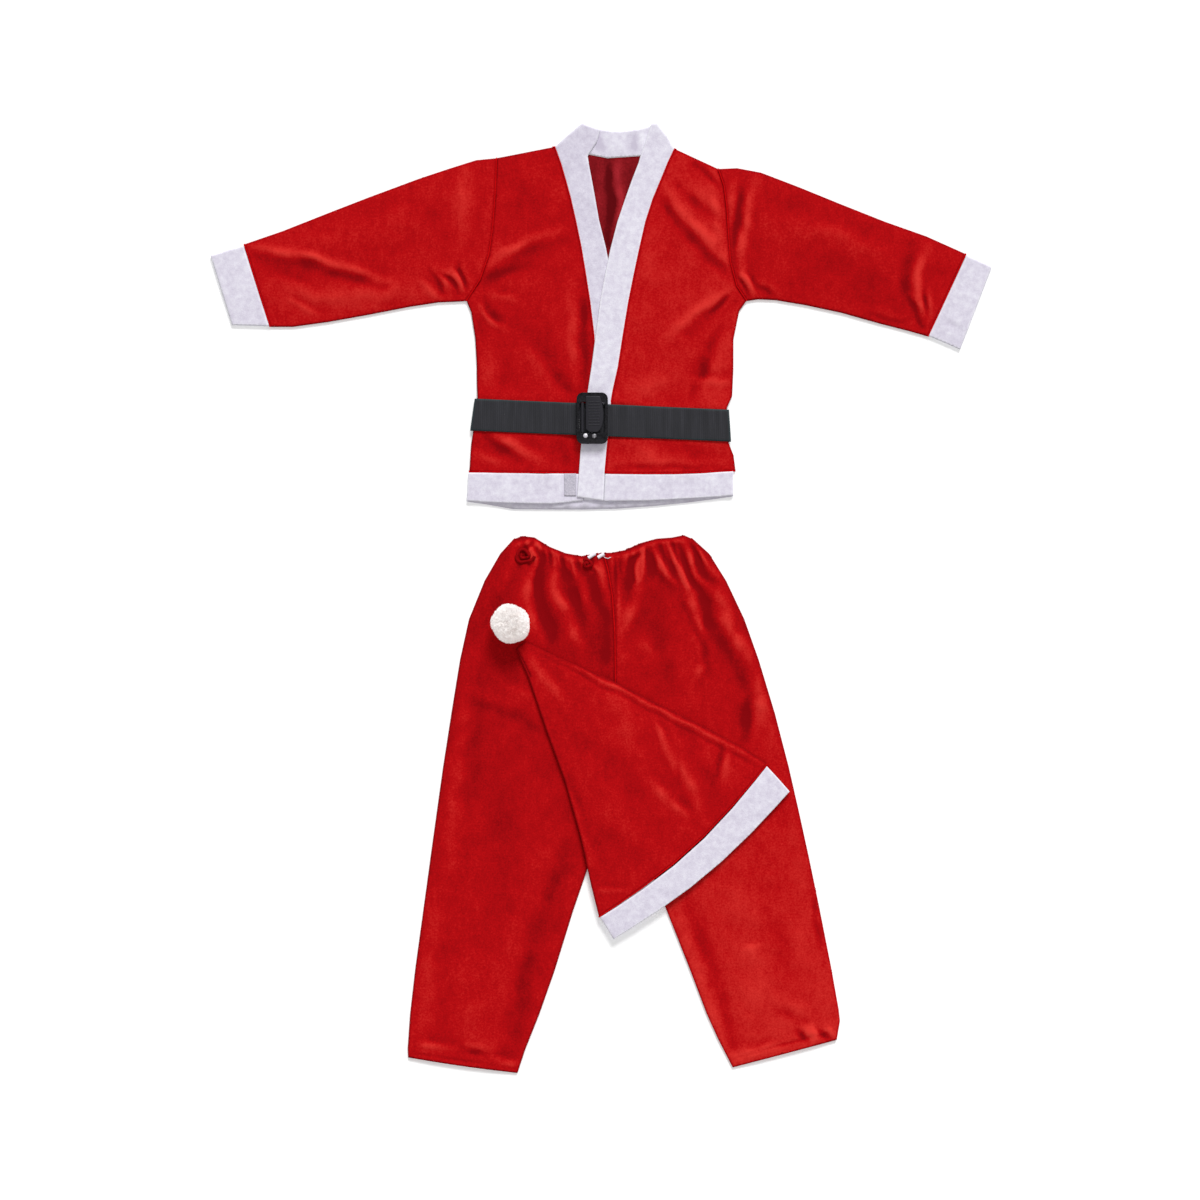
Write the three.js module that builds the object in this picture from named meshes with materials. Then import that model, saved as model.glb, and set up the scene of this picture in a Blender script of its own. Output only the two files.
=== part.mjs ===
// A child's Santa suit laid flat on a table: belted jacket, gathered trousers, pointed hat.
// Millimetres, +Z up. Every cut piece of cloth is a closed wall of its own, lying in its layer.
// "right" and "left" are the wearer's, so right pieces lie on the -X side.
import * as THREE from "three";

// ---------- cloth and trim ----------
const VELOUR = 1.2;            // brushed velour, pile included
const FELT = 1.6;              // doubled strip of white felt
const WEBBING = 1.5;           // belt strap
const SEAM = 0.3;              // clearance kept between two pieces
const FOLD_GAP = 1.2;          // hollow inside a folded edge
const RAMP = 42;               // distance over which a lying layer lifts to its full loft
const LOFT = 2.0;              // how far the upper layer of a tube rises off the lower one

// ---------- belt ----------
const BELT_WIDTH = 40;
const BELT_TILT = -0.043;      // radians, falls towards the left side
const BELT_LEVEL = 102;        // height of its centre line above the hem, at X = 0
const BELT_LIFT = WEBBING + SEAM;   // the jacket rides over the strap that passes behind it
const BELT_RIGHT = { x: -160.7, lean: 0.14 };    // outer edge at the centre line, and its lean
const BELT_LEFT = { x: 161.2, lean: -0.065 };

// ---------- buckle ----------
// The frame is rimmed at its sides and broad at its head, and at its foot, where the rivets sit.
// The bar stands in its opening, and the lever lies closed on top of it.
const TOUCH = 0.1;             // clearance between a moulding and what sits on it
const BUCKLE = { x: -11, y: 104, width: 39, height: 64, corner: 8, rim: 3.6, head: 11.4, foot: 13.5, depth: 5.2 };
const LEVER = { foot: -17.5, top: 27.5, straight: -8, corner: 9.5, bulge: 14, depth: 1.8 };
const BAR = { x: -12.2, y: 1, lift: 0.2, width: 3.2, height: 37.5, corner: 1.2, depth: 4.4 };
const RIVETS = [{ name: "buckle_rivet_1", x: -8.4, y: -21.8 }, { name: "buckle_rivet_2", x: 2.5, y: -22.2 }];
const RIVET = { radius: 2.9, crown: 1.6, wall: 0.5, rise: 1.5 };

// ---------- hem band of the jacket ----------
const HEM_FLARE = 0.012;       // the band's right edge leans out towards its foot
const HEM_RIGHT = -166;
const HEM_LEFT = 165.5;

// ---------- closure tape on the right half of the hem band ----------
const TAPE = { from: -46, clear: 1.1, foot: 7.5, top: 35.5, lift: 0.15, thick: 0.8 };

// ---------- where the three garments lie ----------
const TROUSERS_AT = [17.5, -42.5];        // from the jacket's hem
const HAT_AT = [-107.5, -180];            // the hat's point
const HAT_TURN = 0.7121;                  // its open end swings towards the left leg
const HAT_REST = 6.2;                     // it lies on the trousers
const POMPON = { x: 14.5, y: 24.5, z: 25.4, across: 24, along: 25.5, high: 19, flat: 2.2 };

const COLOURS = {
  velour: { color: 0xb0141c, roughness: 0.8 },
  felt: { color: 0xdedae4, roughness: 0.95 },
  webbing: { color: 0x34343a, roughness: 0.75 },
  plastic: { color: 0x1a1a1e, roughness: 0.25 },
  steel: { color: 0xc7c5ca, roughness: 0.35, metalness: 0.8 },
  plush: { color: 0xe8e3e0, roughness: 1.0 },
  tape: { color: 0x9c9aa8, roughness: 0.9 },
};

// ---------- tables: a row for each section, level or fold ----------
const table = (columns, ...rows) =>
  rows.map((row) => Object.fromEntries(columns.map((name, i) => [name, row[i]])));

// Jacket body from hem to shoulder: both sides and both centre-front seams.
// lift: on the belt (1) or off it (0); loft: hollow under the fronts;
// lap: height of the left front's centre edge above the back; side: gap at the side edge.
const BODY = table(
  ["level", "rightX", "rightY", "rightSeamX", "rightSeamY", "leftSeamX", "leftSeamY", "leftX", "leftY",
    "lift", "loft", "lap", "side"],
  ["hem", -164.5, 38, -20, 38, 5, 38, 168, 38, 0, 2.4, 2.6, 0.3],
  ["below belt", -162.3, 72, -17, 65, 7.5, 65, 165.6, 58, 0, 1.7, 2.6, 0.3],
  ["belt edge", -159.8, 87, -15, 80, 9, 80, 159.6, 73, 1, 0.8, 2.6, 0.3],
  ["belt top", -154.4, 131, -9.5, 124, 12.5, 124, 157, 117, 1, 0.8, 2.6, 0.3],
  ["above belt", -155.2, 146, -8, 139, 15, 139, 163.8, 132, 0, 1.7, 2.6, 0.3],
  ["waist", -155.4, 172, -7, 170, 21.5, 168, 165.3, 165, 0, 2.3, 2.6, 0.3],
  ["chest", -157.3, 205, -9, 208, 28, 210, 165.4, 203, 0, 2.5, 2.6, 0.3],
  ["bust", -162.3, 237, -14, 250, 35, 252, 172.5, 238, 0, 2.6, 2.6, 0.3],
  ["underarm", -168, 251, -19, 282, 41, 282, 181.5, 251, 0, 2.6, 2.5, 0.3],
  ["arm 1", -151, 277, -25, 318, 48, 315, 169, 270, 0, 2.6, 2.4, 1.2],
  ["arm 2", -140, 308, -32, 352, 56, 350, 161, 300, 0, 2.5, 1.9, 1.9],
  ["arm 3", -135, 342, -38, 378, 65, 378, 158.5, 335, 0, 2.4, 1.4, 2.1],
  ["arm 4", -132.5, 375, -44, 400, 75, 402, 156.5, 368, 0, 2.1, 1.1, 1.8],
  ["arm 5", -131, 404, -50, 421, 84, 424, 153, 395, 0, 1.4, 0.8, 1.1],
  ["shoulder", -130, 429.5, -58, 443.5, 92, 441, 146, 416, 0, 0.2, 0.5, 0.3],
);
const HEM_LEVEL = 0;
const UNDERARM_LEVEL = 8;

// Neckline of the back: rise above the straight line between the shoulder points.
const NECKLINE = table(
  ["across", "rise"],
  [0, 0], [0.12, 7], [0.27, 17.6], [0.38, 11.6], [0.5, 6.8], [0.66, 11.8], [0.79, 22.6], [0.9, 11.6], [1, 0],
);
const NECK_FADE = { "arm 4": 0.2, "arm 5": 0.55, shoulder: 1 };

// Underside of the strap above the table: it climbs over the two front bands.
const STRAP_UNDER = table(
  ["x", "under"],
  [-170, 5.3], [-50, 5.3], [-32, 7.5], [24, 7.5], [62, 5.4], [90, 5.3], [170, 5.3],
);

// Free edges of the two front bands on the body's levels, then over the neck.
// leftRests: underside of the left band's free edge above the table.
const BANDS = table(
  ["rightFreeX", "rightFreeY", "leftFreeX", "leftFreeY", "leftRests"],
  [14, 38, -27.5, 38, 3.8],
  [16, 65, -25.5, 65, 3.8],
  [17, 80, -24, 80, 3.8],
  [21, 124, -18.5, 124, 3.8],
  [22, 139, -16.5, 139, 3.8],
  [24, 170, -12, 168, 3.8],
  [23, 208, -6.5, 210, 3.8],
  [18, 250, -1, 252, 3.8],
  [13, 282, 4.5, 282, 3.8],
  [6, 318, 11.5, 315, 3.8],
  [-2.5, 352, 20.5, 350, 3.3],
  [-7, 378, 30, 378, 2.9],
  [-11, 400, 38.5, 402, 2.6],
  [-15, 421, 47, 424, 2.3],
  [-16.6, 432, 49, 431.5, 2.1],
);
const BAND_HEM = { rightSeam: [-21.7, 2.5], rightFree: [12, 2.5], leftFree: [-30, 6], leftSeam: [3, 1] };
const BAND_NECK = table(
  ["rightSeamX", "rightSeamY", "rightFreeX", "rightFreeY", "leftFreeX", "leftFreeY", "leftSeamX", "leftSeamY"],
  [-42, 458, -5, 450, 56, 452, 81, 459],
  [-24, 473, -1, 465, 62.5, 472, 69.4, 473.4],
);
const NECK_BAND_TOP = { right: [-24, 472], left: [69, 472], dip: 9 };

// Bottom edge of the hem band, front layer and back layer.
const HEM_EDGE = table(
  ["x", "front", "back", "top"],
  [-166, 1, 0.4, 36.6], [-135, -0.5, -4, 36.4], [-110, -1.8, -9, 36.2], [-60, -2.4, -9.4, 35.6],
  [-22, 1.5, -9.4, 35.2], [3, 0.6, -9.6, 35.4], [20, 0.8, -8.4, 35], [60, 1.6, -5.6, 34.6],
  [110, 4.2, -0.6, 34.9], [150, 6.8, 4.6, 37.4], [166, 8, 7, 38.2],
);

// Sleeves beyond the armhole: under seam, top fold, and how far the section bows to the body.
const RIGHT_SLEEVE = table(
  ["underX", "underY", "topX", "topY", "bow", "loft"],
  [-181, 250.2, -156, 427, 7, 1.9],
  [-203, 249.4, -190, 416.3, 3, 1.9],
  [-240, 243.7, -228, 403.6, 0, 2],
  [-290, 234, -290, 380.6, 0, 2],
  [-340, 225, -340, 361.2, 0, 1.9],
  [-385, 218.8, -398, 338.3, 0, 1.6],
  [-413.3, 218.8, -445.6, 321.9, 0, 1.2],
);
const LEFT_SLEEVE = table(
  ["underX", "underY", "topX", "topY", "bow", "loft"],
  [196, 253.2, 170, 417, -6, 1.9],
  [218, 252.2, 200, 411.4, -3, 1.9],
  [255, 246, 248, 393, 0, 2],
  [300, 236.4, 300, 371.8, 0, 2],
  [350, 222.4, 355, 350, 0, 1.9],
  [383, 214, 406, 332, 0, 1.6],
  [408.4, 206.8, 455.6, 309.8, 0, 1.2],
);
const RIGHT_CUFF = table(
  ["underX", "underY", "topX", "topY"],
  [-414.5, 219.6, -446.6, 320.6], [-438, 220.4, -467.5, 314.5], [-461, 221, -488, 308],
);
const LEFT_CUFF = table(
  ["underX", "underY", "topX", "topY"],
  [409.3, 207.4, 456.6, 308.6], [429.3, 199, 472.6, 301.3], [448.6, 190.5, 488.4, 294],
);

// Top edge of the gathered waist, both legs together.
const WAIST = table(
  ["x", "y"],
  [-126, -3], [-115, 0.2], [-100, -2], [-88, -11], [-66, -20], [-48, -26.6], [-33, -23], [-15, -21],
  [5, -21], [20, -14], [34, -8], [55, -2.6], [72, -2], [87, 1.2], [96, -2.5],
);

// Trouser legs from waist to hem: outer fold, inner seam, sag of the section's middle.
const RIGHT_LEG = table(
  ["outerX", "outerY", "innerX", "innerY", "sag", "loft"],
  [-126, -3, -15.3, -21, 0, 1.0],
  [-143.3, -22, -9, -45, -6, 1.0],
  [-163, -56, -4, -75, -3, 1.7],
  [-182.5, -104, -1, -120, 0, 1.9],
  [-193.5, -154, -0.3, -165, 0, 1.9],
  [-204.5, -222, -0.3, -225, 0, 1.9],
  [-215, -290, -0.3, -290, 0, 1.9],
  [-223.4, -350, -0.3, -345, 0, 1.9],
  [-231, -405, -30, -403, 0, 1.9],
  [-239.6, -468, -52.3, -468, 0, 1.9],
  [-249.6, -541, -75.5, -543, 0, 1.8],
  [-256, -597, -94.5, -597, 0, 1.6],
  [-259, -640, -112, -641, 0, 1.4],
  [-258.5, -651.5, -122, -671, -1, 1.2],
);
const LEFT_LEG = table(
  ["outerX", "outerY", "innerX", "innerY", "sag", "loft"],
  [96, -2.5, -14.7, -21, 0, 1.0],
  [117.5, -22, -8.5, -45, 0, 1.0],
  [138.8, -56, -3.5, -75, 0, 1.7],
  [161.5, -104, -0.4, -120, 0, 1.9],
  [179.6, -155, 0.3, -165, 0, 1.9],
  [199.8, -222, 0.3, -225, 0, 1.9],
  [217.4, -290, 0.3, -290, 0, 1.9],
  [231, -350, 0.3, -345, 0, 1.9],
  [243, -405, 38.5, -403, 0, 1.9],
  [256, -468, 64.5, -468, 0, 1.9],
  [270.4, -541, 93.3, -541, 0, 1.8],
  [279.5, -592, 114.5, -597, 0, 1.6],
  [281, -606, 129, -629, 0, 1.4],
  [277, -629.5, 147, -664, 0, 1.2],
);

// Hat in its own frame: point at the origin, open end towards -Y, seam on +X, fold on -X.
const HAT = table(
  ["seamX", "seamY", "foldX", "foldY", "bow", "loft"],
  [14, -4, -1.6, -4, 0, 0],
  [30, -42, -13.5, -42, 0, 0.4],
  [63, -110, -41, -110, 0, 1.0],
  [86, -167, -62.5, -167, -1, 1.4],
  [115, -235, -94, -235, -5, 1.7],
  [133, -283, -121.5, -285, -10, 1.9],
  [142, -317.2, -141.4, -324.4, -13.6, 1.9],
);
const HAT_BRIM = table(
  ["seamX", "seamY", "foldX", "foldY", "bow"],
  [140, -318.8, -140.8, -325.8, -14.6], [140.8, -340, -143.4, -341.6, -13.6], [141, -361.2, -146, -357.4, -12.6],
);

// Broad soft folds: a ridge from one point to another, its half width and its height.
const fold = ["fromX", "fromY", "toX", "toY", "width", "height"];
const JACKET_FOLDS = table(fold,
  [-158, 262, -86, 318, 13, 1.0],
  [-150, 232, -84, 196, 15, 0.8],
  [166, 262, 96, 330, 13, 1.0],
  [160, 234, 96, 205, 15, 0.9],
  [-120, 60, -60, 44, 14, 0.7],
  [-198, 274, -420, 306, 15, 1.2],
  [-236, 372, -408, 318, 17, 1.0],
  [206, 272, 330, 262, 15, 1.1],
  [250, 366, 398, 316, 17, 0.9],
);
const TROUSER_FOLDS = table(fold,
  [-112, -12, -150, -190, 12, 1.1],
  [-76, -22, -88, -150, 11, 1.0],
  [-40, -26, -34, -130, 10, 0.9],
  [34, -20, 44, -140, 10, 1.0],
  [72, -12, 112, -170, 12, 1.1],
  [-205, -330, -186, -600, 18, 0.9],
  [-132, -420, -150, -620, 15, 0.7],
  [168, -340, 206, -590, 18, 0.9],
);
const HAT_FOLDS = table(fold,
  [18, -40, 92, -290, 12, 0.8],
  [-8, -60, -60, -290, 13, 0.7],
);

// ---------- small sums ----------
const mix = (a, b, t) => a + (b - a) * t;
const between = (p, q, t) => [mix(p[0], q[0], t), mix(p[1], q[1], t)];
const distance = (p, q) => Math.hypot(p[0] - q[0], p[1] - q[1]);
const smooth = (t) => THREE.MathUtils.smoothstep(t, 0, 1);
const beltLine = (x) => BELT_LEVEL + BELT_TILT * x;

/** Value of a table's column at x, joined by straight lines. */
function lookUp(rows, x, column) {
  const next = rows.findIndex((row) => row.x >= x);
  if (next <= 0) return rows[next < 0 ? rows.length - 1 : 0][column];
  const [low, high] = [rows[next - 1], rows[next]];
  return mix(low[column], high[column], (x - low.x) / (high.x - low.x));
}

/** Height that the soft folds add at one point of the cloth. */
function foldHeight(folds, [x, y]) {
  let height = 0;
  for (const row of folds) {
    const [dx, dy] = [row.toX - row.fromX, row.toY - row.fromY];
    const along = ((x - row.fromX) * dx + (y - row.fromY) * dy) / (dx * dx + dy * dy);
    const t = THREE.MathUtils.clamp(along, 0, 1);
    const away = Math.hypot(x - row.fromX - t * dx, y - row.fromY - t * dy);
    height += row.height * Math.exp(-((away / row.width) ** 2));
  }
  return height;
}

/** A line across a tube, bowed by a vector at its middle. */
const ACROSS = [0, 0.09, 0.24, 0.42, 0.6, 0.77, 0.91, 1];
function bowed(start, end, [bowX, bowY], fractions = ACROSS) {
  return fractions.map((t) => {
    const [x, y] = between(start, end, t);
    const push = Math.sin(Math.PI * t);
    return [x + bowX * push, y + bowY * push];
  });
}

// ---------- solids ----------
/** Closed solid between two grids of points of the same size; its faces are turned outwards. */
function slab(under, over) {
  const rows = under.length;
  const columns = under[0].length;
  const points = [...under.flat(), ...over.flat()];
  const at = (layer, row, column) => (layer * rows + row) * columns + column;
  const faces = [];
  const quad = (a, b, c, d) => faces.push([a, b, c], [a, c, d]);
  for (let r = 0; r < rows - 1; r++) {
    for (let c = 0; c < columns - 1; c++) {
      quad(at(0, r, c), at(0, r + 1, c), at(0, r + 1, c + 1), at(0, r, c + 1));
      quad(at(1, r, c), at(1, r, c + 1), at(1, r + 1, c + 1), at(1, r + 1, c));
    }
  }
  const [lastRow, lastColumn] = [rows - 1, columns - 1];
  for (let c = 0; c < lastColumn; c++) {
    quad(at(0, 0, c), at(0, 0, c + 1), at(1, 0, c + 1), at(1, 0, c));
    quad(at(0, lastRow, c), at(1, lastRow, c), at(1, lastRow, c + 1), at(0, lastRow, c + 1));
  }
  for (let r = 0; r < lastRow; r++) {
    quad(at(0, r, 0), at(1, r, 0), at(1, r + 1, 0), at(0, r + 1, 0));
    quad(at(0, r, lastColumn), at(0, r + 1, lastColumn), at(1, r + 1, lastColumn), at(1, r, lastColumn));
  }
  const volume = faces.reduce((sum, [a, b, c]) => {
    const [p, q, s] = [a, b, c].map((i) => new THREE.Vector3(...points[i]));
    return sum + p.dot(q.cross(s));
  }, 0);
  const index = faces.flatMap(([a, b, c]) => (volume > 0 ? [a, b, c] : [a, c, b]));
  const geometry = new THREE.BufferGeometry();
  geometry.setAttribute("position", new THREE.Float32BufferAttribute(points.flat(), 3));
  geometry.setIndex(index);
  geometry.computeVertexNormals();
  return geometry;
}

/** A lying sheet: grid of [x, y, underside height], with a wall of the given thickness. */
const sheet = (grid, cloth) =>
  slab(grid, grid.map((row) => row.map(([x, y, z]) => [x, y, z + cloth])));

/**
 * A flat tube. Each line runs from the seam to the folded edge; the section lies on the table
 * along the line, curls round the fold and comes back on top, where loft and folds lift it.
 */
function tube(rows, cloth, { folds = [], rest = 0, most = 3.3 } = {}) {
  const radius = cloth + FOLD_GAP / 2;
  const inner = [];
  const outer = [];
  for (const { line, loft = LOFT } of rows) {
    const [seam, edge] = [line[0], line[line.length - 1]];
    const length = distance(seam, edge);
    const out = [(edge[0] - seam[0]) / length, (edge[1] - seam[1]) / length];
    const curlAt = [edge[0] - out[0] * radius, edge[1] - out[1] * radius];
    const lying = [...line.slice(0, -1), curlAt];
    const gaps = lying.map((point) => {
      const free = smooth(Math.min(distance(point, seam), distance(point, curlAt)) / RAMP);
      const lean = mix(SEAM, FOLD_GAP, distance(point, seam) / distance(curlAt, seam));
      return Math.min(lean + free * (loft + foldHeight(folds, point)), most);
    });
    const curl = (reach) => [-45, 0, 45].map((degrees) => {
      const angle = THREE.MathUtils.degToRad(degrees);
      const away = reach * Math.cos(angle);
      return [curlAt[0] + out[0] * away, curlAt[1] + out[1] * away, rest + radius + reach * Math.sin(angle)];
    });
    const layer = (heights) => lying.map(([x, y], i) => [x, y, heights[i]]);
    inner.push([
      ...layer(gaps.map(() => rest + cloth)), ...curl(FOLD_GAP / 2),
      ...layer(gaps.map((gap) => rest + cloth + gap)).reverse(),
    ]);
    outer.push([
      ...layer(gaps.map(() => rest)), ...curl(radius),
      ...layer(gaps.map((gap) => rest + 2 * cloth + gap)).reverse(),
    ]);
  }
  return slab(inner, outer);
}

/**
 * Section of a strip that goes all round the jacket: from its right front end round the right
 * side, behind the back and round the left side to its left front end. Pairs of [x, height].
 */
function girdle({ cloth, right, left, frontRight, frontLeft, behind, height }) {
  const side = (edge, from, to) => {
    const top = height(edge) + cloth;
    const [outerR, innerR] = [top / 2, top / 2 - cloth];
    const sign = Math.sign(edge);
    const centre = edge - sign * outerR;
    return [from, from / 2, 0, to / 2, to].map((degrees) => {
      const angle = THREE.MathUtils.degToRad(degrees);
      const spot = (reach) => [centre + sign * reach * Math.cos(angle), top / 2 + reach * Math.sin(angle)];
      return { inner: spot(innerR), outer: spot(outerR), turn: angle };
    });
  };
  const front = (x) => ({ inner: [x, height(x)], outer: [x, height(x) + cloth], turn: Math.PI / 2 });
  const back = (x) => ({ inner: [x, cloth], outer: [x, 0], turn: -Math.PI / 2 });
  return [
    ...frontRight.map(front), ...side(right, 90, -90), ...behind.map(back),
    ...side(left, -90, 90), ...frontLeft.map(front),
  ];
}

// ---------- jacket ----------
/** The body ends just above the hem band's top edge. */
const aboveHem = (row, [x, y]) => (row.level === "hem" ? [x, lookUp(HEM_EDGE, x, "top") + 2 * SEAM] : [x, y]);

const rightSide = (row) => [row.rightX, row.rightY];
const leftSide = (row) => [row.leftX, row.leftY];
const rightSeam = (row) => [row.rightSeamX, row.rightSeamY];
const leftSeam = (row) => [row.leftSeamX, row.leftSeamY];

function jacketBack() {
  const grid = BODY.map((row) => NECKLINE.map(({ across, rise }) => {
    const [x, y] = aboveHem(row, between(rightSide(row), leftSide(row), across));
    return [x, y + rise * (NECK_FADE[row.level] ?? 0), row.lift * BELT_LIFT];
  }));
  return sheet(grid, VELOUR);
}

/** Underside of a front above the table, from its distances to the side and to the centre. */
function frontHeight(row, toSide, toCentre, centreGap, point) {
  const off = smooth(toSide / RAMP);
  const inward = smooth((toCentre - 14) / RAMP);
  const ridge = foldHeight(JACKET_FOLDS, point) * (row.lift ? 0 : 1);
  const body = mix(row.side, row.loft + ridge, off);
  return VELOUR + row.lift * BELT_LIFT + mix(centreGap, body, inward);
}

const FRONT_ACROSS = [0, 0.1, 0.26, 0.45, 0.64, 0.81, 0.92, 1];
const RIGHT_LAP = 0.7;       // the right front lies straight on the back at its centre edge

function jacketFront(sideOf, seamOf, lapOf) {
  const grid = BODY.map((row) => FRONT_ACROSS.map((t) => {
    const [side, seam] = [sideOf(row), seamOf(row)];
    const point = aboveHem(row, between(side, seam, t));
    const height = frontHeight(row, distance(point, side), distance(point, seam), lapOf(row), point);
    return [...point, height];
  }));
  return sheet(grid, VELOUR);
}

/** A front band: its rows of [seam edge, free edge, height at the seam, height at the free edge]. */
function frontBand(rows) {
  const grid = rows.map(({ seam, free, atSeam, atFree }) => [0, 0.5, 1].map((t) => {
    const [x, y] = between(seam, free, t);
    return [x, y, mix(atSeam, atFree, t)];
  }));
  return sheet(grid, FELT);
}

function rightBand() {
  const height = VELOUR + RIGHT_LAP;
  const rows = BODY.map((row, i) => ({
    seam: [row.rightSeamX + SEAM, row.rightSeamY],
    free: [BANDS[i].rightFreeX, BANDS[i].rightFreeY],
    atSeam: height + row.lift * BELT_LIFT,
    atFree: height + row.lift * BELT_LIFT,
  }));
  rows.unshift({ seam: BAND_HEM.rightSeam, free: BAND_HEM.rightFree, atSeam: height, atFree: height });
  for (const row of BAND_NECK) {
    rows.push({
      seam: [row.rightSeamX, row.rightSeamY], free: [row.rightFreeX, row.rightFreeY],
      atSeam: height, atFree: height,
    });
  }
  return frontBand(rows);
}

function leftBand() {
  const rows = BODY.map((row, i) => ({
    seam: [row.leftSeamX - SEAM, row.leftSeamY],
    free: [BANDS[i].leftFreeX, BANDS[i].leftFreeY],
    atSeam: VELOUR + row.lap + row.lift * BELT_LIFT,
    atFree: BANDS[i].leftRests + row.lift * BELT_LIFT,
  }));
  const overlapped = BANDS[HEM_LEVEL].leftRests;
  rows.unshift({
    seam: BAND_HEM.leftSeam, free: BAND_HEM.leftFree, atSeam: overlapped, atFree: overlapped,
  });
  const atNeck = FELT + SEAM;
  for (const row of BAND_NECK) {
    rows.push({
      seam: [row.leftSeamX, row.leftSeamY], free: [row.leftFreeX, row.leftFreeY],
      atSeam: atNeck, atFree: atNeck,
    });
  }
  return frontBand(rows);
}

/** Neckline points of the back, where its band is sewn on. */
function neckline() {
  const shoulder = BODY[BODY.length - 1];
  return NECKLINE.slice(2, 7).map(({ across, rise }) => {
    const [x, y] = between(rightSide(shoulder), leftSide(shoulder), across);
    return [x, y + rise];
  });
}

function backBand() {
  const foot = neckline();
  const grid = [0, 0.5, 1].map((up) => foot.map(([x, y], i) => {
    const t = i / (foot.length - 1);
    const dip = NECK_BAND_TOP.dip * 4 * t * (1 - t);
    const top = between(NECK_BAND_TOP.right, NECK_BAND_TOP.left, t);
    return [...between([x, y + 2 * SEAM], [top[0], top[1] - dip], up), 0];
  }));
  return sheet(grid, FELT);
}

/** Underside of the hem band's front layer: level with the fronts, over the right band at the lap. */
function hemHeight(x) {
  const row = BODY[HEM_LEVEL];
  const right = x < 0;
  const point = [x, row.rightY];
  const toSide = right ? x - HEM_RIGHT : HEM_LEFT - x;
  const toCentre = right ? row.rightSeamX - x : x - row.leftSeamX;
  const under = frontHeight(row, toSide, toCentre, right ? RIGHT_LAP : row.lap, point);
  return Math.max(under, FELT + SEAM + FOLD_GAP * smooth(1 - toSide / RAMP));
}

function hemBand() {
  const section = girdle({
    cloth: FELT, right: HEM_RIGHT, left: HEM_LEFT, height: hemHeight,
    frontRight: [-22, -36, -60, -92, -126, -150], behind: [-140, -108, -64, -20, 20, 64, 108, 140],
    frontLeft: [150, 126, 92, 62, 40, 19, BAND_HEM.leftSeam[0] + SEAM],
  });
  // The left front end follows the band's seam, which leans.
  const lean = BODY[HEM_LEVEL].leftSeamX - BAND_HEM.leftSeam[0];
  const edge = ({ outer, turn }) => {
    const front = (1 + Math.sin(turn)) / 2;
    return mix(lookUp(HEM_EDGE, outer[0], "back"), lookUp(HEM_EDGE, outer[0], "front"), front);
  };
  const layer = (name) => [1, 0.5, 0].map((up) => section.map((spot, i) => {
    const [x, z] = spot[name];
    const shift = i === section.length - 1 ? lean * up : HEM_FLARE * Math.min(x, 0) * (1 - up);
    return [x + shift, mix(edge(spot), lookUp(HEM_EDGE, x, "top"), up), z];
  }));
  return slab(layer("inner"), layer("outer"));
}

/** Half of the closure's tape, sewn on the right end of the hem where the lap leaves it bare. */
function closureTape() {
  const grid = [TAPE.foot, TAPE.top].map((y) => [0, 0.5, 1].map((t) => {
    const x = mix(TAPE.from, BAND_HEM.leftFree[0] - TAPE.clear, t);
    return [x, y, hemHeight(x) + FELT + SEAM + TAPE.lift];
  }));
  return sheet(grid, TAPE.thick);
}

/** A sleeve starts on the armhole's own points, moved out by the seam. */
function sleeve(sideOf, rows) {
  const outward = Math.sign(rows[0].underX);
  const head = BODY.slice(UNDERARM_LEVEL).map((row) => {
    const [x, y] = sideOf(row);
    return [x + outward * 0.5, y];
  });
  const fractions = head.map((point) => distance(point, head[0]) / distance(head[head.length - 1], head[0]));
  const lines = rows.map((row) => ({
    loft: row.loft,
    line: bowed([row.underX, row.underY], [row.topX, row.topY], [row.bow, 0], fractions),
  }));
  return tube([{ line: head, loft: 1.6 }, ...lines], VELOUR, { folds: JACKET_FOLDS });
}

const cuff = (rows) => tube(rows.map((row) => ({
  loft: 0.5, line: bowed([row.underX, row.underY], [row.topX, row.topY], [0, 0]),
})), FELT);

// ---------- belt and buckle ----------
function belt() {
  const section = girdle({
    cloth: WEBBING, right: BELT_RIGHT.x, left: BELT_LEFT.x, height: (x) => lookUp(STRAP_UNDER, x, "under"),
    frontRight: [BUCKLE.x - 1, -32, -50, -90, -130], behind: [-110, -50, 0, 50, 110],
    frontLeft: [130, 90, 62, 24, BUCKLE.x + 1],
  });
  const layer = (name) => [BELT_WIDTH / 2, -BELT_WIDTH / 2].map((up) => section.map((spot) => {
    const [x, z] = spot[name];
    const lean = mix(BELT_RIGHT.lean, BELT_LEFT.lean, (x - BELT_RIGHT.x) / (BELT_LEFT.x - BELT_RIGHT.x));
    return [x + up * lean, beltLine(x) + up, z];
  }));
  return slab(layer("inner"), layer("outer"));
}

function roundedRectangle(width, height, corner, Kind = THREE.Shape, up = 0) {
  const [x, foot, top] = [width / 2, up - height / 2, up + height / 2];
  const shape = new Kind();
  shape.moveTo(-x + corner, foot);
  shape.lineTo(x - corner, foot);
  shape.absarc(x - corner, foot + corner, corner, -Math.PI / 2, 0);
  shape.lineTo(x, top - corner);
  shape.absarc(x - corner, top - corner, corner, 0, Math.PI / 2);
  shape.lineTo(-x + corner, top);
  shape.absarc(-x + corner, top - corner, corner, Math.PI / 2, Math.PI);
  shape.lineTo(-x, foot + corner);
  shape.absarc(-x + corner, foot + corner, corner, Math.PI, Math.PI * 1.5);
  return shape;
}

const plate = (shape, depth) =>
  new THREE.ExtrudeGeometry(shape, { depth, bevelEnabled: false, curveSegments: 5 });

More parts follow.
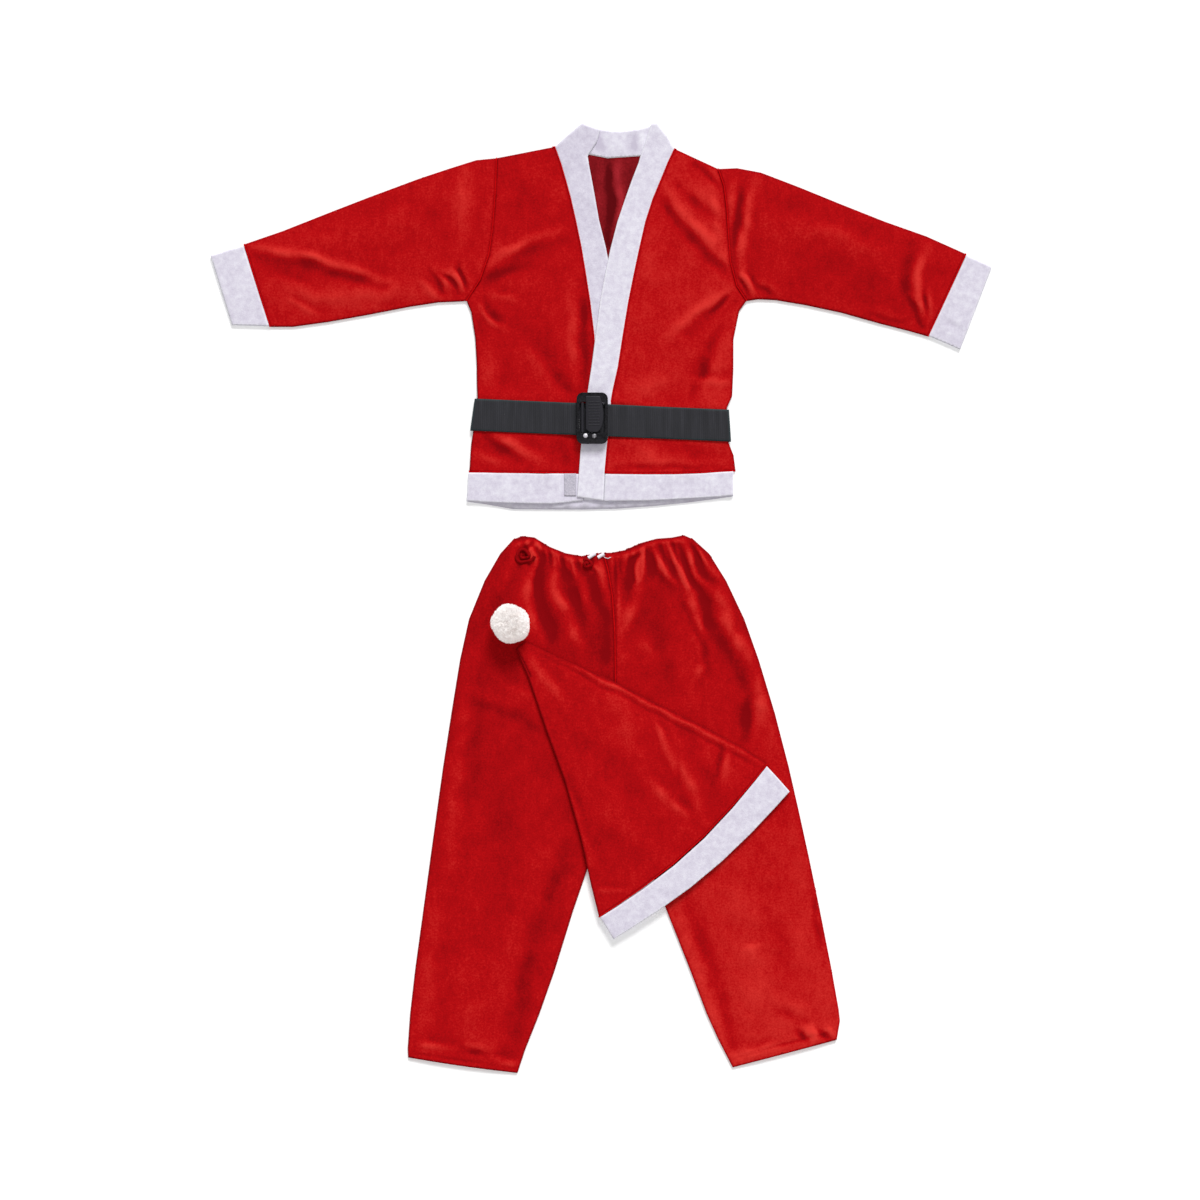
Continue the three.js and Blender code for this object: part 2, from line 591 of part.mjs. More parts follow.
function buckleFrame() {
  const { width, height, corner, rim, head, foot, depth } = BUCKLE;
  const shape = roundedRectangle(width, height, corner);
  const opening = [width - 2 * rim, height - head - foot, corner - rim];
  shape.holes.push(roundedRectangle(...opening, THREE.Path, (foot - head) / 2));
  return plate(shape, depth);
}

/** The lever that clamps the strap: straight on its right edge, bowed on its left one. */
function buckleLever() {
  const { foot, top, straight, corner, bulge, depth } = LEVER;
  const shape = new THREE.Shape();
  shape.moveTo(straight, foot + 4);
  shape.lineTo(straight + 5, foot);
  shape.lineTo(corner - 3, foot);
  shape.quadraticCurveTo(bulge, foot + 5, bulge, 2);
  shape.quadraticCurveTo(bulge, 18, corner, top);
  shape.lineTo(straight, top);
  return plate(shape, depth);
}

const buckleBar = () => plate(roundedRectangle(BAR.width, BAR.height, BAR.corner), BAR.depth);

function buckleRivet() {
  const { radius, crown, wall, rise } = RIVET;
  const profile = [[0, 0], [radius, 0], [radius, wall], [crown, rise - 0.2], [0, rise]]
    .map(([r, z]) => new THREE.Vector2(r, z));
  return new THREE.LatheGeometry(profile, 12).rotateX(Math.PI / 2);
}

// ---------- trousers and hat ----------
function leg(rows) {
  const lines = rows.map((row) => ({
    loft: row.loft, line: bowed([row.innerX, row.innerY], [row.outerX, row.outerY], [0, row.sag]),
  }));
  lines[0].line = lines[0].line.map(([x]) => [x, lookUp(WAIST, x, "y")]);
  return tube(lines, VELOUR, { folds: TROUSER_FOLDS });
}

const hatPart = (rows, cloth, folds) => tube(rows.map((row) => ({
  loft: row.loft ?? 1.1, line: bowed([row.seamX, row.seamY], [row.foldX, row.foldY], [0, row.bow]),
})), cloth, { folds, rest: HAT_REST });

/** The pompon's whole reach, fur tips included: a ball with five soft corners, flat underneath. */
function pompon() {
  const geometry = new THREE.IcosahedronGeometry(1, 3);
  const spots = geometry.getAttribute("position");
  const spot = new THREE.Vector3();
  for (let i = 0; i < spots.count; i++) {
    spot.fromBufferAttribute(spots, i);
    const round = 1 + 0.035 * Math.cos(5 * Math.atan2(spot.y, spot.x) + 0.6);
    const z = Math.max(spot.z * POMPON.high, -POMPON.high + POMPON.flat);
    spots.setXYZ(i, spot.x * POMPON.across * round, spot.y * POMPON.along * round, z);
  }
  return geometry;
}

// ---------- scene graph ----------
function piece(name, geometry, finish) {
  const mesh = new THREE.Mesh(geometry, new THREE.MeshStandardMaterial({ metalness: 0, ...COLOURS[finish] }));
  mesh.name = name;
  return mesh;
}

const buckle = new THREE.Group();
const strapTop = lookUp(STRAP_UNDER, BUCKLE.x, "under") + WEBBING;
buckle.position.set(BUCKLE.x, BUCKLE.y, strapTop + SEAM);
buckle.add(
  piece("buckle_frame", buckleFrame(), "plastic"),
  piece("buckle_lever", buckleLever().translate(0, 0, BUCKLE.depth + TOUCH), "plastic"),
  piece("buckle_bar", buckleBar().translate(BAR.x, BAR.y, BAR.lift), "plastic"),
  ...RIVETS.map(({ name, x, y }) => piece(name, buckleRivet().translate(x, y, BUCKLE.depth + TOUCH), "steel")),
);

const jacket = new THREE.Group();
jacket.add(
  piece("jacket_back", jacketBack(), "velour"),
  piece("jacket_front_right", jacketFront(rightSide, rightSeam, () => RIGHT_LAP), "velour"),
  piece("jacket_front_left", jacketFront(leftSide, leftSeam, (row) => row.lap), "velour"),
  piece("sleeve_right", sleeve(rightSide, RIGHT_SLEEVE), "velour"),
  piece("sleeve_left", sleeve(leftSide, LEFT_SLEEVE), "velour"),
  piece("cuff_right", cuff(RIGHT_CUFF), "felt"),
  piece("cuff_left", cuff(LEFT_CUFF), "felt"),
  piece("front_band_right", rightBand(), "felt"),
  piece("front_band_left", leftBand(), "felt"),
  piece("neck_band_back", backBand(), "felt"),
  piece("hem_band", hemBand(), "felt"),
  piece("closure_tape", closureTape(), "tape"),
  piece("belt_strap", belt(), "webbing"),
  buckle,
);

const trousers = new THREE.Group();
trousers.position.set(...TROUSERS_AT, 0);
trousers.add(piece("leg_right", leg(RIGHT_LEG), "velour"), piece("leg_left", leg(LEFT_LEG), "velour"));

const hat = new THREE.Group();
hat.position.set(...HAT_AT, 0);
hat.rotation.z = HAT_TURN;
hat.add(
  piece("hat_cone", hatPart(HAT, VELOUR, HAT_FOLDS), "velour"),
  piece("hat_brim", hatPart(HAT_BRIM, FELT, []), "felt"),
  piece("hat_pompon", pompon().translate(POMPON.x, POMPON.y, POMPON.z), "plush"),
);

// The suit's origin: the middle of the ground it covers, on the table.
const suit = new THREE.Group();
suit.add(jacket, trousers, hat);
const box = new THREE.Box3().setFromObject(suit, true);
const middle = box.getCenter(new THREE.Vector3());
suit.position.set(-middle.x, -middle.y, -box.min.z);

export default suit;
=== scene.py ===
# %% [markdown]
# # A child's Santa suit, laid flat
#
# A belted wrap jacket, gathered trousers and a pointed hat of brushed red velour, trimmed with
# white felt. The imported model holds every cut piece as a plain wall of cloth, in its place.
# This lesson turns those walls into cloth: it takes the outer skin of each wall, makes its mesh
# fine, presses creases into it, and gives it a thickness again.

# %% Load the imported model
import math

import bmesh
import bpy
import numpy as np
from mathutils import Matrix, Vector
from mathutils.kdtree import KDTree


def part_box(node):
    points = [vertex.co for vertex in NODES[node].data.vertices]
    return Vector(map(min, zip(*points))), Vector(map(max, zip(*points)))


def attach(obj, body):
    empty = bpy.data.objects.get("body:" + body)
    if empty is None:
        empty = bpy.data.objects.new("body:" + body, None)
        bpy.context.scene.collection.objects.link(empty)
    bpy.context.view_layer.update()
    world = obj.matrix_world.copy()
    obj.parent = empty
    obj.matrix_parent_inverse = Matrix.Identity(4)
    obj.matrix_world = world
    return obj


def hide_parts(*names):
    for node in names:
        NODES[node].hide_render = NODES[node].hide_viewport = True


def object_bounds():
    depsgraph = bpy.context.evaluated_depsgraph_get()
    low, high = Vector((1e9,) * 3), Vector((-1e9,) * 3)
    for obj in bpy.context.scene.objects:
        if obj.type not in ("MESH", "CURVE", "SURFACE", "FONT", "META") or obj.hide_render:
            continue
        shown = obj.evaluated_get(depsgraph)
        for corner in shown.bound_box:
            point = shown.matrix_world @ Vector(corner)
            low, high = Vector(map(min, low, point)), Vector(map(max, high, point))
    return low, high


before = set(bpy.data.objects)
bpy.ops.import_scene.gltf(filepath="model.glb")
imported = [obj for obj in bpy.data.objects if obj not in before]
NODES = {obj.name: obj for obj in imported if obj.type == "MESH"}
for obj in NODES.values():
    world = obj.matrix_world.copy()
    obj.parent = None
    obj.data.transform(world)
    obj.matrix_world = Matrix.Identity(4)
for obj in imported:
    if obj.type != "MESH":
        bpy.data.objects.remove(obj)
CAD_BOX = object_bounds()
MM = 0.001
box_size = [round((b - a) / MM) for a, b in zip(*CAD_BOX)]
print(len(NODES), "pieces in a box of", box_size, "mm")

# %% [markdown]
# ## Where the three garments lie
#
# Creases are easiest to write down in millimetres from a landmark of their own garment: the
# jacket's from the foot of its hem, the trousers' from the top of the seam between the legs,
# the hat's from its point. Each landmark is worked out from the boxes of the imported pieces.

# %% Landmarks of the garments
def low(node):
    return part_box(node)[0] / MM


def high(node):
    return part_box(node)[1] / MM


hem_low, hem_high = low("hem_band"), high("hem_band")
JACKET = np.array([(hem_low.x + hem_high.x) / 2 + 1.2, hem_low.y + 9.4])
TROUSERS = np.array([high("leg_right").x + 0.3, high("leg_left").y - 1.0])
HAT = np.array([low("hat_cone").x - 1.4, high("hat_cone").y - 6.1])
HAT_TURN = 0.712
print("jacket", JACKET.round(1), "trousers", TROUSERS.round(1), "hat", HAT.round(1))

# %% [markdown]
# ## Colour and node helpers
#
# Colours are written as the sRGB hex values that a colour picker shows. Blender's shaders work
# on linear light, so one function converts them. One more adds any node with its settings and
# links. The rest make patterns of several nodes: patches of a real size, a weighted sum of
# patterns, and a fade from a piece's edge.

# %% Colours and nodes
def linear(hex_colour):
    """The linear RGBA of an sRGB hex colour."""
    parts = [int(hex_colour[i:i + 2], 16) / 255 for i in (1, 3, 5)]
    return [c / 12.92 if c <= 0.04045 else ((c + 0.055) / 1.055) ** 2.4 for c in parts] + [1.0]


def add(tree, kind, settings=None, **inputs):
    """A new node with its settings and links; `stops` are a ramp's (place, hex colour) pairs.

    An input is named with _ for a space, or as i and its number. It is a value or a socket.
    """
    node = tree.nodes.new(kind)
    settings = dict(settings or {})
    stops = settings.pop("stops", ())
    for name, value in settings.items():
        setattr(node, name, value)
    while stops and len(node.color_ramp.elements) < len(stops):
        node.color_ramp.elements.new(0.5)
    for i, (place, colour) in enumerate(stops):
        node.color_ramp.elements[i].position = place
        node.color_ramp.elements[i].color = linear(colour)
    for name, value in inputs.items():
        key = int(name[1:]) if name[0] == "i" and name[1:].isdigit() else name.replace("_", " ")
        if isinstance(value, bpy.types.NodeSocket):
            tree.links.new(value, node.inputs[key])
        else:
            node.inputs[key].default_value = value
    return node


def new_material(name, **shader_values):
    """A material with its tree and shader; values are named with _ for a space."""
    material = bpy.data.materials.new(name)
    material.use_nodes = True
    tree = material.node_tree
    shader = tree.nodes["Principled BSDF"]
    for key, value in shader_values.items():
        shader.inputs[key.replace("_", " ")].default_value = value
    return material, tree, shader


# %% Patterns
def patches(tree, size, detail=3.0, stretch=(1, 1, 1), rough=0.55):
    """Noise whose patches are about size millimetres across, in the piece's own coordinates."""
    place = add(tree, "ShaderNodeTexCoord").outputs["Object"]
    scale = [1 / (size * MM * s) for s in stretch]
    scaled = add(tree, "ShaderNodeMapping", Vector=place, Scale=scale)
    noise = add(tree, "ShaderNodeTexNoise", Vector=scaled.outputs[0], Scale=1.0, Detail=detail,
                Roughness=rough)
    return noise.outputs["Fac"]


def weighted(tree, *terms, start=0.0):
    """The sum of patterns, each times its weight; a name stands for a number on the mesh."""
    total = start
    for pattern, weight in terms:
        if isinstance(pattern, str):
            pattern = add(tree, "ShaderNodeAttribute", {"attribute_name": pattern}).outputs["Fac"]
        total = add(tree, "ShaderNodeMath", {"operation": "MULTIPLY_ADD"},
                    i0=pattern, i1=weight, i2=total).outputs[0]
    return total


def at_edge(tree, width):
    """1 on a piece's edge, fading to 0 at width millimetres from it."""
    distance = add(tree, "ShaderNodeAttribute", {"attribute_name": "edge"}).outputs["Fac"]
    return add(tree, "ShaderNodeMath", {"operation": "MULTIPLY_ADD", "use_clamp": True},
               i0=distance, i1=-1 / width, i2=1.0).outputs[0]


def finish(tree, shader, pattern, stops, relief=None, depth=0.0, strength=1.0):
    """Colours the shader by a pattern, raises it by another, and gives the colour's socket."""
    colour = add(tree, "ShaderNodeValToRGB", {"stops": stops}, Fac=pattern).outputs["Color"]
    tree.links.new(colour, shader.inputs["Base Color"])
    if relief is not None:
        raised = add(tree, "ShaderNodeBump", Height=relief, Distance=depth * MM, Strength=strength)
        tree.links.new(raised.outputs[0], shader.inputs["Normal"])
    return colour


# %% [markdown]
# ## Velour
#
# Brushed polyester velour is a knit whose loops are cut and brushed into a short pile. Where the
# pile has been stroked one way it looks pale and bright, the other way deep and dark, so the
# cloth is never one red. Patches the size of a hand, flecks of a centimetre and the grain of
# the pile itself are three noises added up. Sheen lights the slopes that turn away, as the
# pile's tips do. Three numbers painted on each mesh join in: `tone` of the cut piece; a crease
# number, high on ridges and low in troughs, which stands partly for the pile a crease lays and
# partly for painted shade in the troughs and painted highlight on the ridges; and `edge`, the
# distance to the nearest edge, near which the red is darkened as painted shade where the cloth
# rolls away.

# %% Velour
def velour(name, dark, middle, light, sheen):
    """Brushed pile: very rough, with hardly a plain highlight, and bright where it turns away."""
    material, tree, shader = new_material(
        name, Roughness=0.9, Specular_IOR_Level=0.05, Sheen_Weight=sheen, Sheen_Roughness=0.4,
        Sheen_Tint=linear("#f01410"))
    hand = patches(tree, 40, 3, (1, 1.5, 1))
    fleck = patches(tree, 7, 4, (1, 2.2, 1), 0.65)
    grain = patches(tree, 2.2, 3, rough=0.7)
    nap = patches(tree, 1.6, 3, (1, 1.6, 1))
    # Noises and tone, plus painted light: the crease number paints shade in troughs and highlight on
    # ridges besides the laid pile, and the edge term paints shade on the last 3 mm before each edge.
    mottle_and_painted_shade = weighted(tree, (hand, 0.13), (fleck, 0.24), (grain, 0.52), ("press", 0.37),
                      ("tone", 1.0), (at_edge(tree, 3.0), -0.24), start=0.045)
    finish(tree, shader, mottle_and_painted_shade, ((0.22, dark), (0.5, middle), (0.8, light)),
           weighted(tree, (nap, 1.0), (fleck, 0.8)), 0.5, 0.5)
    return material


VELOUR_FACE = velour("brushed_velour_face", "#820309", "#b1080e", "#d2302a", 0.2)
VELOUR_BACK = velour("velour_wrong_side", "#5c060c", "#84141b", "#a4242c", 0.05)
print("made", VELOUR_FACE.name, "and", VELOUR_BACK.name)

# %% [markdown]
# ## Felt, webbing, plastic, steel and pile
#
# The trim is thin pressed felt: matt, faintly lilac in daylight, clouded where the fibres lie
# thicker, and whiter along its folded edges, a painted highlight; its creases get painted shade
# and highlight too. The belt is polypropylene webbing: charcoal, with fine ribs across it, drawn
# as coarse as they need to be to show, and a cold dark green at its edges. The buckle is moulded
# nylon, glossy on its frame and satin on its lever; of its two alike rivets one is coloured light
# as a painted glint and the other dark. The pompon's pile glows faintly, painted light that keeps
# it white.

# %% The other finishes
def felt():
    """Pressed fibres: matt, with a faint bloom."""
    material, tree, shader = new_material(
        "pressed_white_felt", Roughness=0.95, Specular_IOR_Level=0.15, Sheen_Weight=0.15)
    cloud = patches(tree, 7, 4, rough=0.6)
    fibre = patches(tree, 1.5, 3)
    # The edge term is a painted highlight along the edges; the crease number paints shade in troughs
    # and highlight on ridges.
    mix = weighted(tree, (cloud, 0.7), (fibre, 0.3), (at_edge(tree, 2.6), 0.25),
                   ("press", 0.3), ("tone", 1.0))
    finish(tree, shader, mix, ((0.25, "#c3bccd"), (0.5, "#d6d1df"), (0.75, "#e7e5ee")),
           weighted(tree, (fibre, 1.0), (cloud, 1.0)), 0.35, 0.55)
    return material


def webbing():
    """Woven tape: satin yarns with ribs across and streaks along."""
    material, tree, shader = new_material(
        "polypropylene_webbing", Roughness=0.7, Specular_IOR_Level=0.3)
    rib_pitch = 2.4 * MM
    place = add(tree, "ShaderNodeTexCoord").outputs["Object"]
    scaled = add(tree, "ShaderNodeMapping", Vector=place, Scale=[1 / rib_pitch] * 3)
    ribs = add(tree, "ShaderNodeTexWave", {"bands_direction": "X"}, Vector=scaled.outputs[0],
               Scale=0.32, Distortion=1.5, Detail=2.0).outputs["Fac"]
    streak = patches(tree, 5, 3, (1, 14, 1))
    weave = patches(tree, 1.2, 2)
    mix = weighted(tree, (ribs, 0.10), (streak, 0.6), (weave, 0.2))
    body = finish(tree, shader, mix, ((0.2, "#18181c"), (0.5, "#26262b"), (0.85, "#3c3b42")),
                  ribs, 0.3, 0.6)
    tinted = add(tree, "ShaderNodeMix", {"data_type": "RGBA"},
                 i0=weighted(tree, (at_edge(tree, 3.0), 0.55)), i6=body, i7=linear("#163a3c"))
    tree.links.new(tinted.outputs[2], shader.inputs["Base Color"])
    return material


def plastic(name, colour, roughness):
    """Moulded nylon: a smooth skin with a faint orange peel."""
    material, tree, shader = new_material(name, Roughness=roughness, Specular_IOR_Level=0.22)
    peel = patches(tree, 3, 2)
    finish(tree, shader, peel, ((0.3, colour), (0.9, "#26252b")), peel, 0.05, 0.4)
    return material


def pile():
    """Soft white yarn, with shaded clumps and a faint glow, painted light that brightens it."""
    material, tree, shader = new_material(
        "white_plush_pile", Roughness=1.0, Sheen_Weight=0.3, Specular_IOR_Level=0.1,
        Emission_Color=linear("#fff4f0"), Emission_Strength=0.1)
    clump = patches(tree, 6, 3)
    finish(tree, shader, clump, ((0.2, "#f3efed"), (0.5, "#fbf9f8"), (0.8, "#ffffff")))
    return material


def tape():
    """Hook tape: a coarse field of tiny nylon hooks."""
    material, tree, shader = new_material("nylon_hook_tape", Roughness=0.8)
    hooks = patches(tree, 1.4, 2)
    finish(tree, shader, hooks, ((0.3, "#a5a2b0"), (0.7, "#cdc7d3")), hooks, 0.6, 0.8)
    return material


def steel(name, colour, metallic):
    """Nickelled steel, rubbed a little dull."""
    material, tree, shader = new_material(name, Metallic=metallic, Roughness=0.4)
    finish(tree, shader, patches(tree, 2, 2), ((0.4, colour), (1.0, "#e6e4e8")))
    return material


def thread(name, dark, light):
    """Spun polyester sewing thread, dull."""
    material, tree, shader = new_material(name, Roughness=0.7)
    finish(tree, shader, patches(tree, 0.8, 1), ((0.3, dark), (0.7, light)))
    return material


FELT_WHITE = felt()
WEBBING_BLACK = webbing()
PLUSH = pile()
HOOK_TAPE = tape()
# The two rivets are alike: the first is coloured light as a painted glint, the second dark, as a
# rivet that catches no light.
RIVET_PAINTED_GLINT = steel("nickelled_rivet_painted_glint", "#cfccd4", 0.3)
RIVET_UNLIT = steel("nickelled_rivet_unlit", "#4a494f", 0.1)
PLASTIC_GLOSS = plastic("nylon_gloss_black", "#040406", 0.2)
PLASTIC_SATIN = plastic("nylon_satin_black", "#242329", 0.38)
WHITE_THREAD = thread("white_polyester_thread", "#d8d2de", "#f2eff5")
print(len(bpy.data.materials), "materials")

# %% [markdown]
# ## From a packed wall to a skin
#
# A packed wall is a closed shell of loose triangles with an inside, an outside and a rim. Only
# its outside is wanted here. The walk starts on the highest face that looks up and steps over
# every edge that bends gently, so it goes round a folded edge and stops at the sharp rim.

# %% Take the outer skin
SHARP = math.radians(62)


def outer_skin(node):
    """The outside of a packed wall, as a bmesh with shared corners."""
    bm = bmesh.new()
    bm.from_mesh(NODES[node].data)
    bmesh.ops.remove_doubles(bm, verts=bm.verts, dist=1e-6)
    bm.normal_update()
    start = max((f for f in bm.faces if f.normal.z > 0.8), key=lambda f: f.calc_center_median().z)
    skin, waiting = {start}, [start]
    while waiting:
        for edge in waiting.pop().edges:
            if edge.is_manifold and edge.calc_face_angle() < SHARP:
                for face in edge.link_faces:
                    if face not in skin:
                        skin.add(face)
                        waiting.append(face)
    bmesh.ops.delete(bm, geom=[f for f in bm.faces if f not in skin], context="FACES")
    return bm


# %% Make the skin fine where it shows
FINE = 2.6          # mm between points where a piece is seen
COARSE = 14.0       # mm between points underneath


def refine(bm, fine):
    """Halves every edge that is too long until none is, and keeps the triangles plump."""
    for _ in range(9):
        shown = [any(f.normal.z > -0.5 for f in e.link_faces) for e in bm.edges]
        limits = [1.4 * MM * (fine if seen else COARSE) for seen in shown]
        long = [e for e, limit in zip(bm.edges, limits) if e.calc_length() > limit]
        if not long:
            break
        bmesh.ops.subdivide_edges(bm, edges=long, cuts=1)
        bmesh.ops.triangulate(bm, faces=[f for f in bm.faces if len(f.verts) > 3])
        bm.normal_update()
        level = [e for e in bm.edges if e.is_manifold and e.calc_face_angle() < 0.05]
        bmesh.ops.beautify_fill(bm, faces=bm.faces, edges=level)
        bm.normal_update()
    bmesh.ops.dissolve_degenerate(bm, dist=0.15 * MM, edges=bm.edges)
    bmesh.ops.triangulate(bm, faces=[f for f in bm.faces if len(f.verts) > 3])


def rim_segments(bm):
    """The edges of the shape as seen from above, as pairs of points in millimetres."""
    rims = []
    for edge in bm.edges:
        looks_up = [face.normal.z > 0.1 for face in edge.link_faces]
        if edge.is_boundary and looks_up[0] or edge.is_manifold and looks_up[0] != looks_up[1]:
            rims.append([vert.co[:2] for vert in edge.verts])
    return np.array(rims) / MM


def distance_to(points, segments):
    """Distance from each point to the nearest of the segments, in the plane."""
    nearest = np.full(len(points), 1e9)
    for a, b in segments:
        along = b - a
        t = np.clip((points - a) @ along / max(along @ along, 1e-9), 0, 1)
        nearest = np.minimum(nearest, np.hypot(*(points - a - t[:, None] * along).T))
    return nearest


# %% [markdown]
# ## Creases
#
# A crease is a soft ridge or trough along a line. Each one is a row of a table: where it starts
# and ends, how far its middle bows sideways, its half width and its height, which is below zero
# for a trough. `shade` sets a shallower partner beside it, because cloth that is pushed up
# somewhere sinks next to it. Slow waves with a fixed seed bend the lines and vary their depth,
# so that no two creases look alike.

# %% Creases and slow waves
def table(columns, *rows):
    return [dict(zip(columns, row)) for row in rows]


CREASE = ("x0", "y0", "x1", "y1", "bow", "width", "height", "shade")


def waves(points, size, seed, count=14):
    """Smooth unevenness between about -1 and 1, with humps about size millimetres apart."""
    rng = np.random.default_rng(seed)
    total = np.zeros(len(points))
    for _ in range(count):
        angle, phase = rng.uniform(0, math.tau, 2)
        step = math.tau / (size * rng.uniform(1.1, 2.6))
        total += np.sin(points @ [step * math.cos(angle), step * math.sin(angle)] + phase)
    return total / math.sqrt(count)


def smooth(t):
    t = np.clip(t, 0, 1)
    return t * t * (3 - 2 * t)


def crease_height(points, rows):
    """What the creases add at each point: height in millimetres, and a number for the colour, partly
    the pile they lay and partly painted shade in troughs and painted highlight on ridges.
    """
    warp = 1.8 * np.column_stack([waves(points, 26, 3), waves(points, 26, 4)])
    depth = 1 + 0.28 * waves(points, 22, 5)
    height, nap_and_shade = np.zeros((2, len(points)))
    for row in rows:
        start = np.array([row["x0"], row["y0"]])
        along = np.array([row["x1"], row["y1"]]) - start
        length = np.hypot(*along)
        from_start = points + warp * min(1, row["width"] / 5) - start
        t_free = from_start @ along / length**2
        t = np.clip(t_free, 0, 1)
        side = from_start @ np.array([-along[1], along[0]]) / length - row["bow"] * 4 * t * (1 - t)
        past = (t_free - t) * length / (1.5 * row["width"])
        swell = 0.3 + 0.7 * np.sin(math.pi * np.clip(t, 0.04, 0.96)) ** 0.7
        line = np.exp(-(side / row["width"]) ** 2 - past**2)
        away = side - math.copysign(1.9 * row["width"], row["shade"])
        partner = abs(row["shade"]) * np.exp(-(away / (1.2 * row["width"])) ** 2 - past**2)
        lift = row["height"] * swell * (line - partner)
        height += lift
        nap_and_shade += lift * min(1, 6 / row["width"])
    return height * depth, nap_and_shade * depth


# %% [markdown]
# ## One recipe for every cut piece
#
# Skin, fine mesh, smoothed form, creases, rounded edge, thickness: every piece of cloth goes
# through the same steps, with its own table of creases. The smoothing takes the facets out of
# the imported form. The creases fade at seams, where the stitching holds the cloth down, and
# they may not push a layer into the one below or above it.

# %% The recipe
class Cloth:
    """Points of a refined skin, in millimetres, with the sums that shape them."""

    def __init__(self, node, fine=FINE):
        self.bm = outer_skin(node)
        rims = rim_segments(self.bm)
        refine(self.bm, fine)
        self.bm.verts.ensure_lookup_table()
        self.bm.verts.index_update()
        self.points = np.array([v.co for v in self.bm.verts]) / MM
        self.up = np.array([v.normal.z for v in self.bm.verts])
        self.edge = distance_to(self.points[:, :2], rims)
        self.pairs = np.array([[v.index for v in e.verts] for e in self.bm.edges])

    def even_out(self, rounds, hold):
        """Smooths heights away from the rim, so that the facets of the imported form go."""
        top = self.up > 0.6
        free = smooth((self.edge - hold) / 6) * top
        a, b = self.pairs[top[self.pairs].all(axis=1)].T
        size = len(free)
        count = np.bincount(a, minlength=size) + np.bincount(b, minlength=size)
        for axis, times in ((0, 4), (1, 4), (2, rounds)):
            value = self.points[:, axis]
            for _ in range(times):
                around = np.bincount(a, value[b], size) + np.bincount(b, value[a], size)
                value += free * 0.7 * (around / np.maximum(count, 1) - value)


SEAM_FADE = 9       # mm from a seam within which creases fade
EDGE_ROUND = 3.2    # mm from an edge within which it is rounded
CLEAR = 0.12        # mm kept between the two layers of a tube


def press_cloth(cloth, origin, creases, *, rumple, thickness, layers, sink=0.0, over=0.0,
                top=None, calm=None):
    """Adds creases and rumples and rounds the edge; over is the height of what lies underneath."""
    plan = cloth.points[:, :2] - origin
    z = cloth.points[:, 2]
    rest = z.min() if layers == 2 else 0.0
    weight = 1.0
    if layers == 2:
        weight = smooth((z - rest - 0.3 * thickness) / (1.7 * thickness))
    hold = 0.3 + 0.7 * smooth(cloth.edge / SEAM_FADE)
    if calm is not None:
        hold = hold * calm(plan)
    folds, nap_and_shade = crease_height(plan, creases)
    slow = 0.30 * waves(plan, 34, 11) + 0.16 * waves(plan, 13, 12) + 0.07 * waves(plan, 6, 13)
    slow = rumple * slow
    # The colour's crease number: high on ridges and rumples, low in troughs; partly the pile that
    # lies flat there, partly painted highlight and painted shade.
    cloth.press = np.clip((nap_and_shade + 0.4 * slow) * hold * (cloth.up > 0) / 1.5, -1, 1)
    added = (folds + slow) * hold - sink * smooth(cloth.edge / 30)
    below = rest + thickness if layers == 2 else over
    gap = np.maximum(z - below - thickness - CLEAR, 0.02)
    added = np.where(added < 0, -gap * np.tanh(-added / gap), added)
    inward = np.clip(cloth.edge / EDGE_ROUND, 0, 1)
    rounding = 0.3 * (1 - np.sqrt(1 - (1 - inward) ** 2))
    new = z + weight * added
    if top is not None:
        limit = top(plan)
        new = limit - np.logaddexp(0, (limit - new) / 0.15) * 0.15
    cloth.points[:, 2] = new - weight * rounding * (cloth.up > 0.3)


def finish_cloth(cloth, name, node, material, thickness, tone=0.0):
    """An object with a wall, from the points; tone may be a pair, for its low and high Y."""
    level = cloth.points[:, 1]
    tones = np.interp(level, [level.min(), level.max()], np.ravel(tone)[[0, -1]])
    for vert, point in zip(cloth.bm.verts, cloth.points):
        vert.co = point * MM
    mesh = bpy.data.meshes.new(name)
    cloth.bm.to_mesh(mesh)
    cloth.bm.free()
    mesh.shade_smooth()
    for key, values in (("edge", cloth.edge), ("press", cloth.press), ("tone", tones)):
        layer = mesh.attributes.new(key, "FLOAT", "POINT")
        layer.data.foreach_set("value", values.astype(np.float32))
    mesh.materials.append(material)
    piece = bpy.data.objects.new(name, mesh)
    bpy.context.scene.collection.objects.link(piece)
    wall = piece.modifiers.new("wall", "SOLIDIFY")
    wall.thickness = thickness * MM
    wall.offset = -1
    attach(piece, "root")
    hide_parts(node)
    print(f"{name}: {len(mesh.polygons)} triangles a side")
    return piece


# Walls of the finished pieces, in mm
VELOUR = 1.15
FELT = 1.5
STRAP = 1.4
TAPE = 0.7

# %% [markdown]
# ## The jacket's creases
#
# A sleeve that is laid straight out throws folds from the underarm along its length; the front
# pulls from the underarm towards the shoulder and the neck. They are written for the wearer's
# right first, which is on the left here.

# %% Crease tables of the jacket
RIGHT_SLEEVE_CREASES = table(
    CREASE,
    (-432, 319, -268, 277, 4, 5.5, 1.1, -0.75),
    (-405, 268, -224, 270, -13, 13, 1.3, 0.3),
    (-390, 251, -354, 234, 0, 3.5, 0.7, 0.3),
    (-428, 300, -340, 262, 4, 9, -0.7, 0),
    (-212, 286, -199, 264, 3, 3.2, -1.5, 0.5),
    (-200, 285, -179, 261, 4, 2.8, -1.8, 0.5),
    (-187, 289, -172, 264, 3, 2.8, 1.3, 0.6),
    (-226, 276, -206, 259, 2, 4, 0.9, 0.4),
    (-178, 296, -168, 272, -3, 3, -1.2, 0.4),
    (-250, 380, -178, 346, 0, 17, -0.7, 0.2),
    (-370, 345, -262, 372, 0, 15, -0.6, 0.2),
    (-168, 410, -176, 330, 0, 9, 0.7, 0.4),
    (-300, 300, -210, 318, 5, 15, -0.6, 0.2),
)
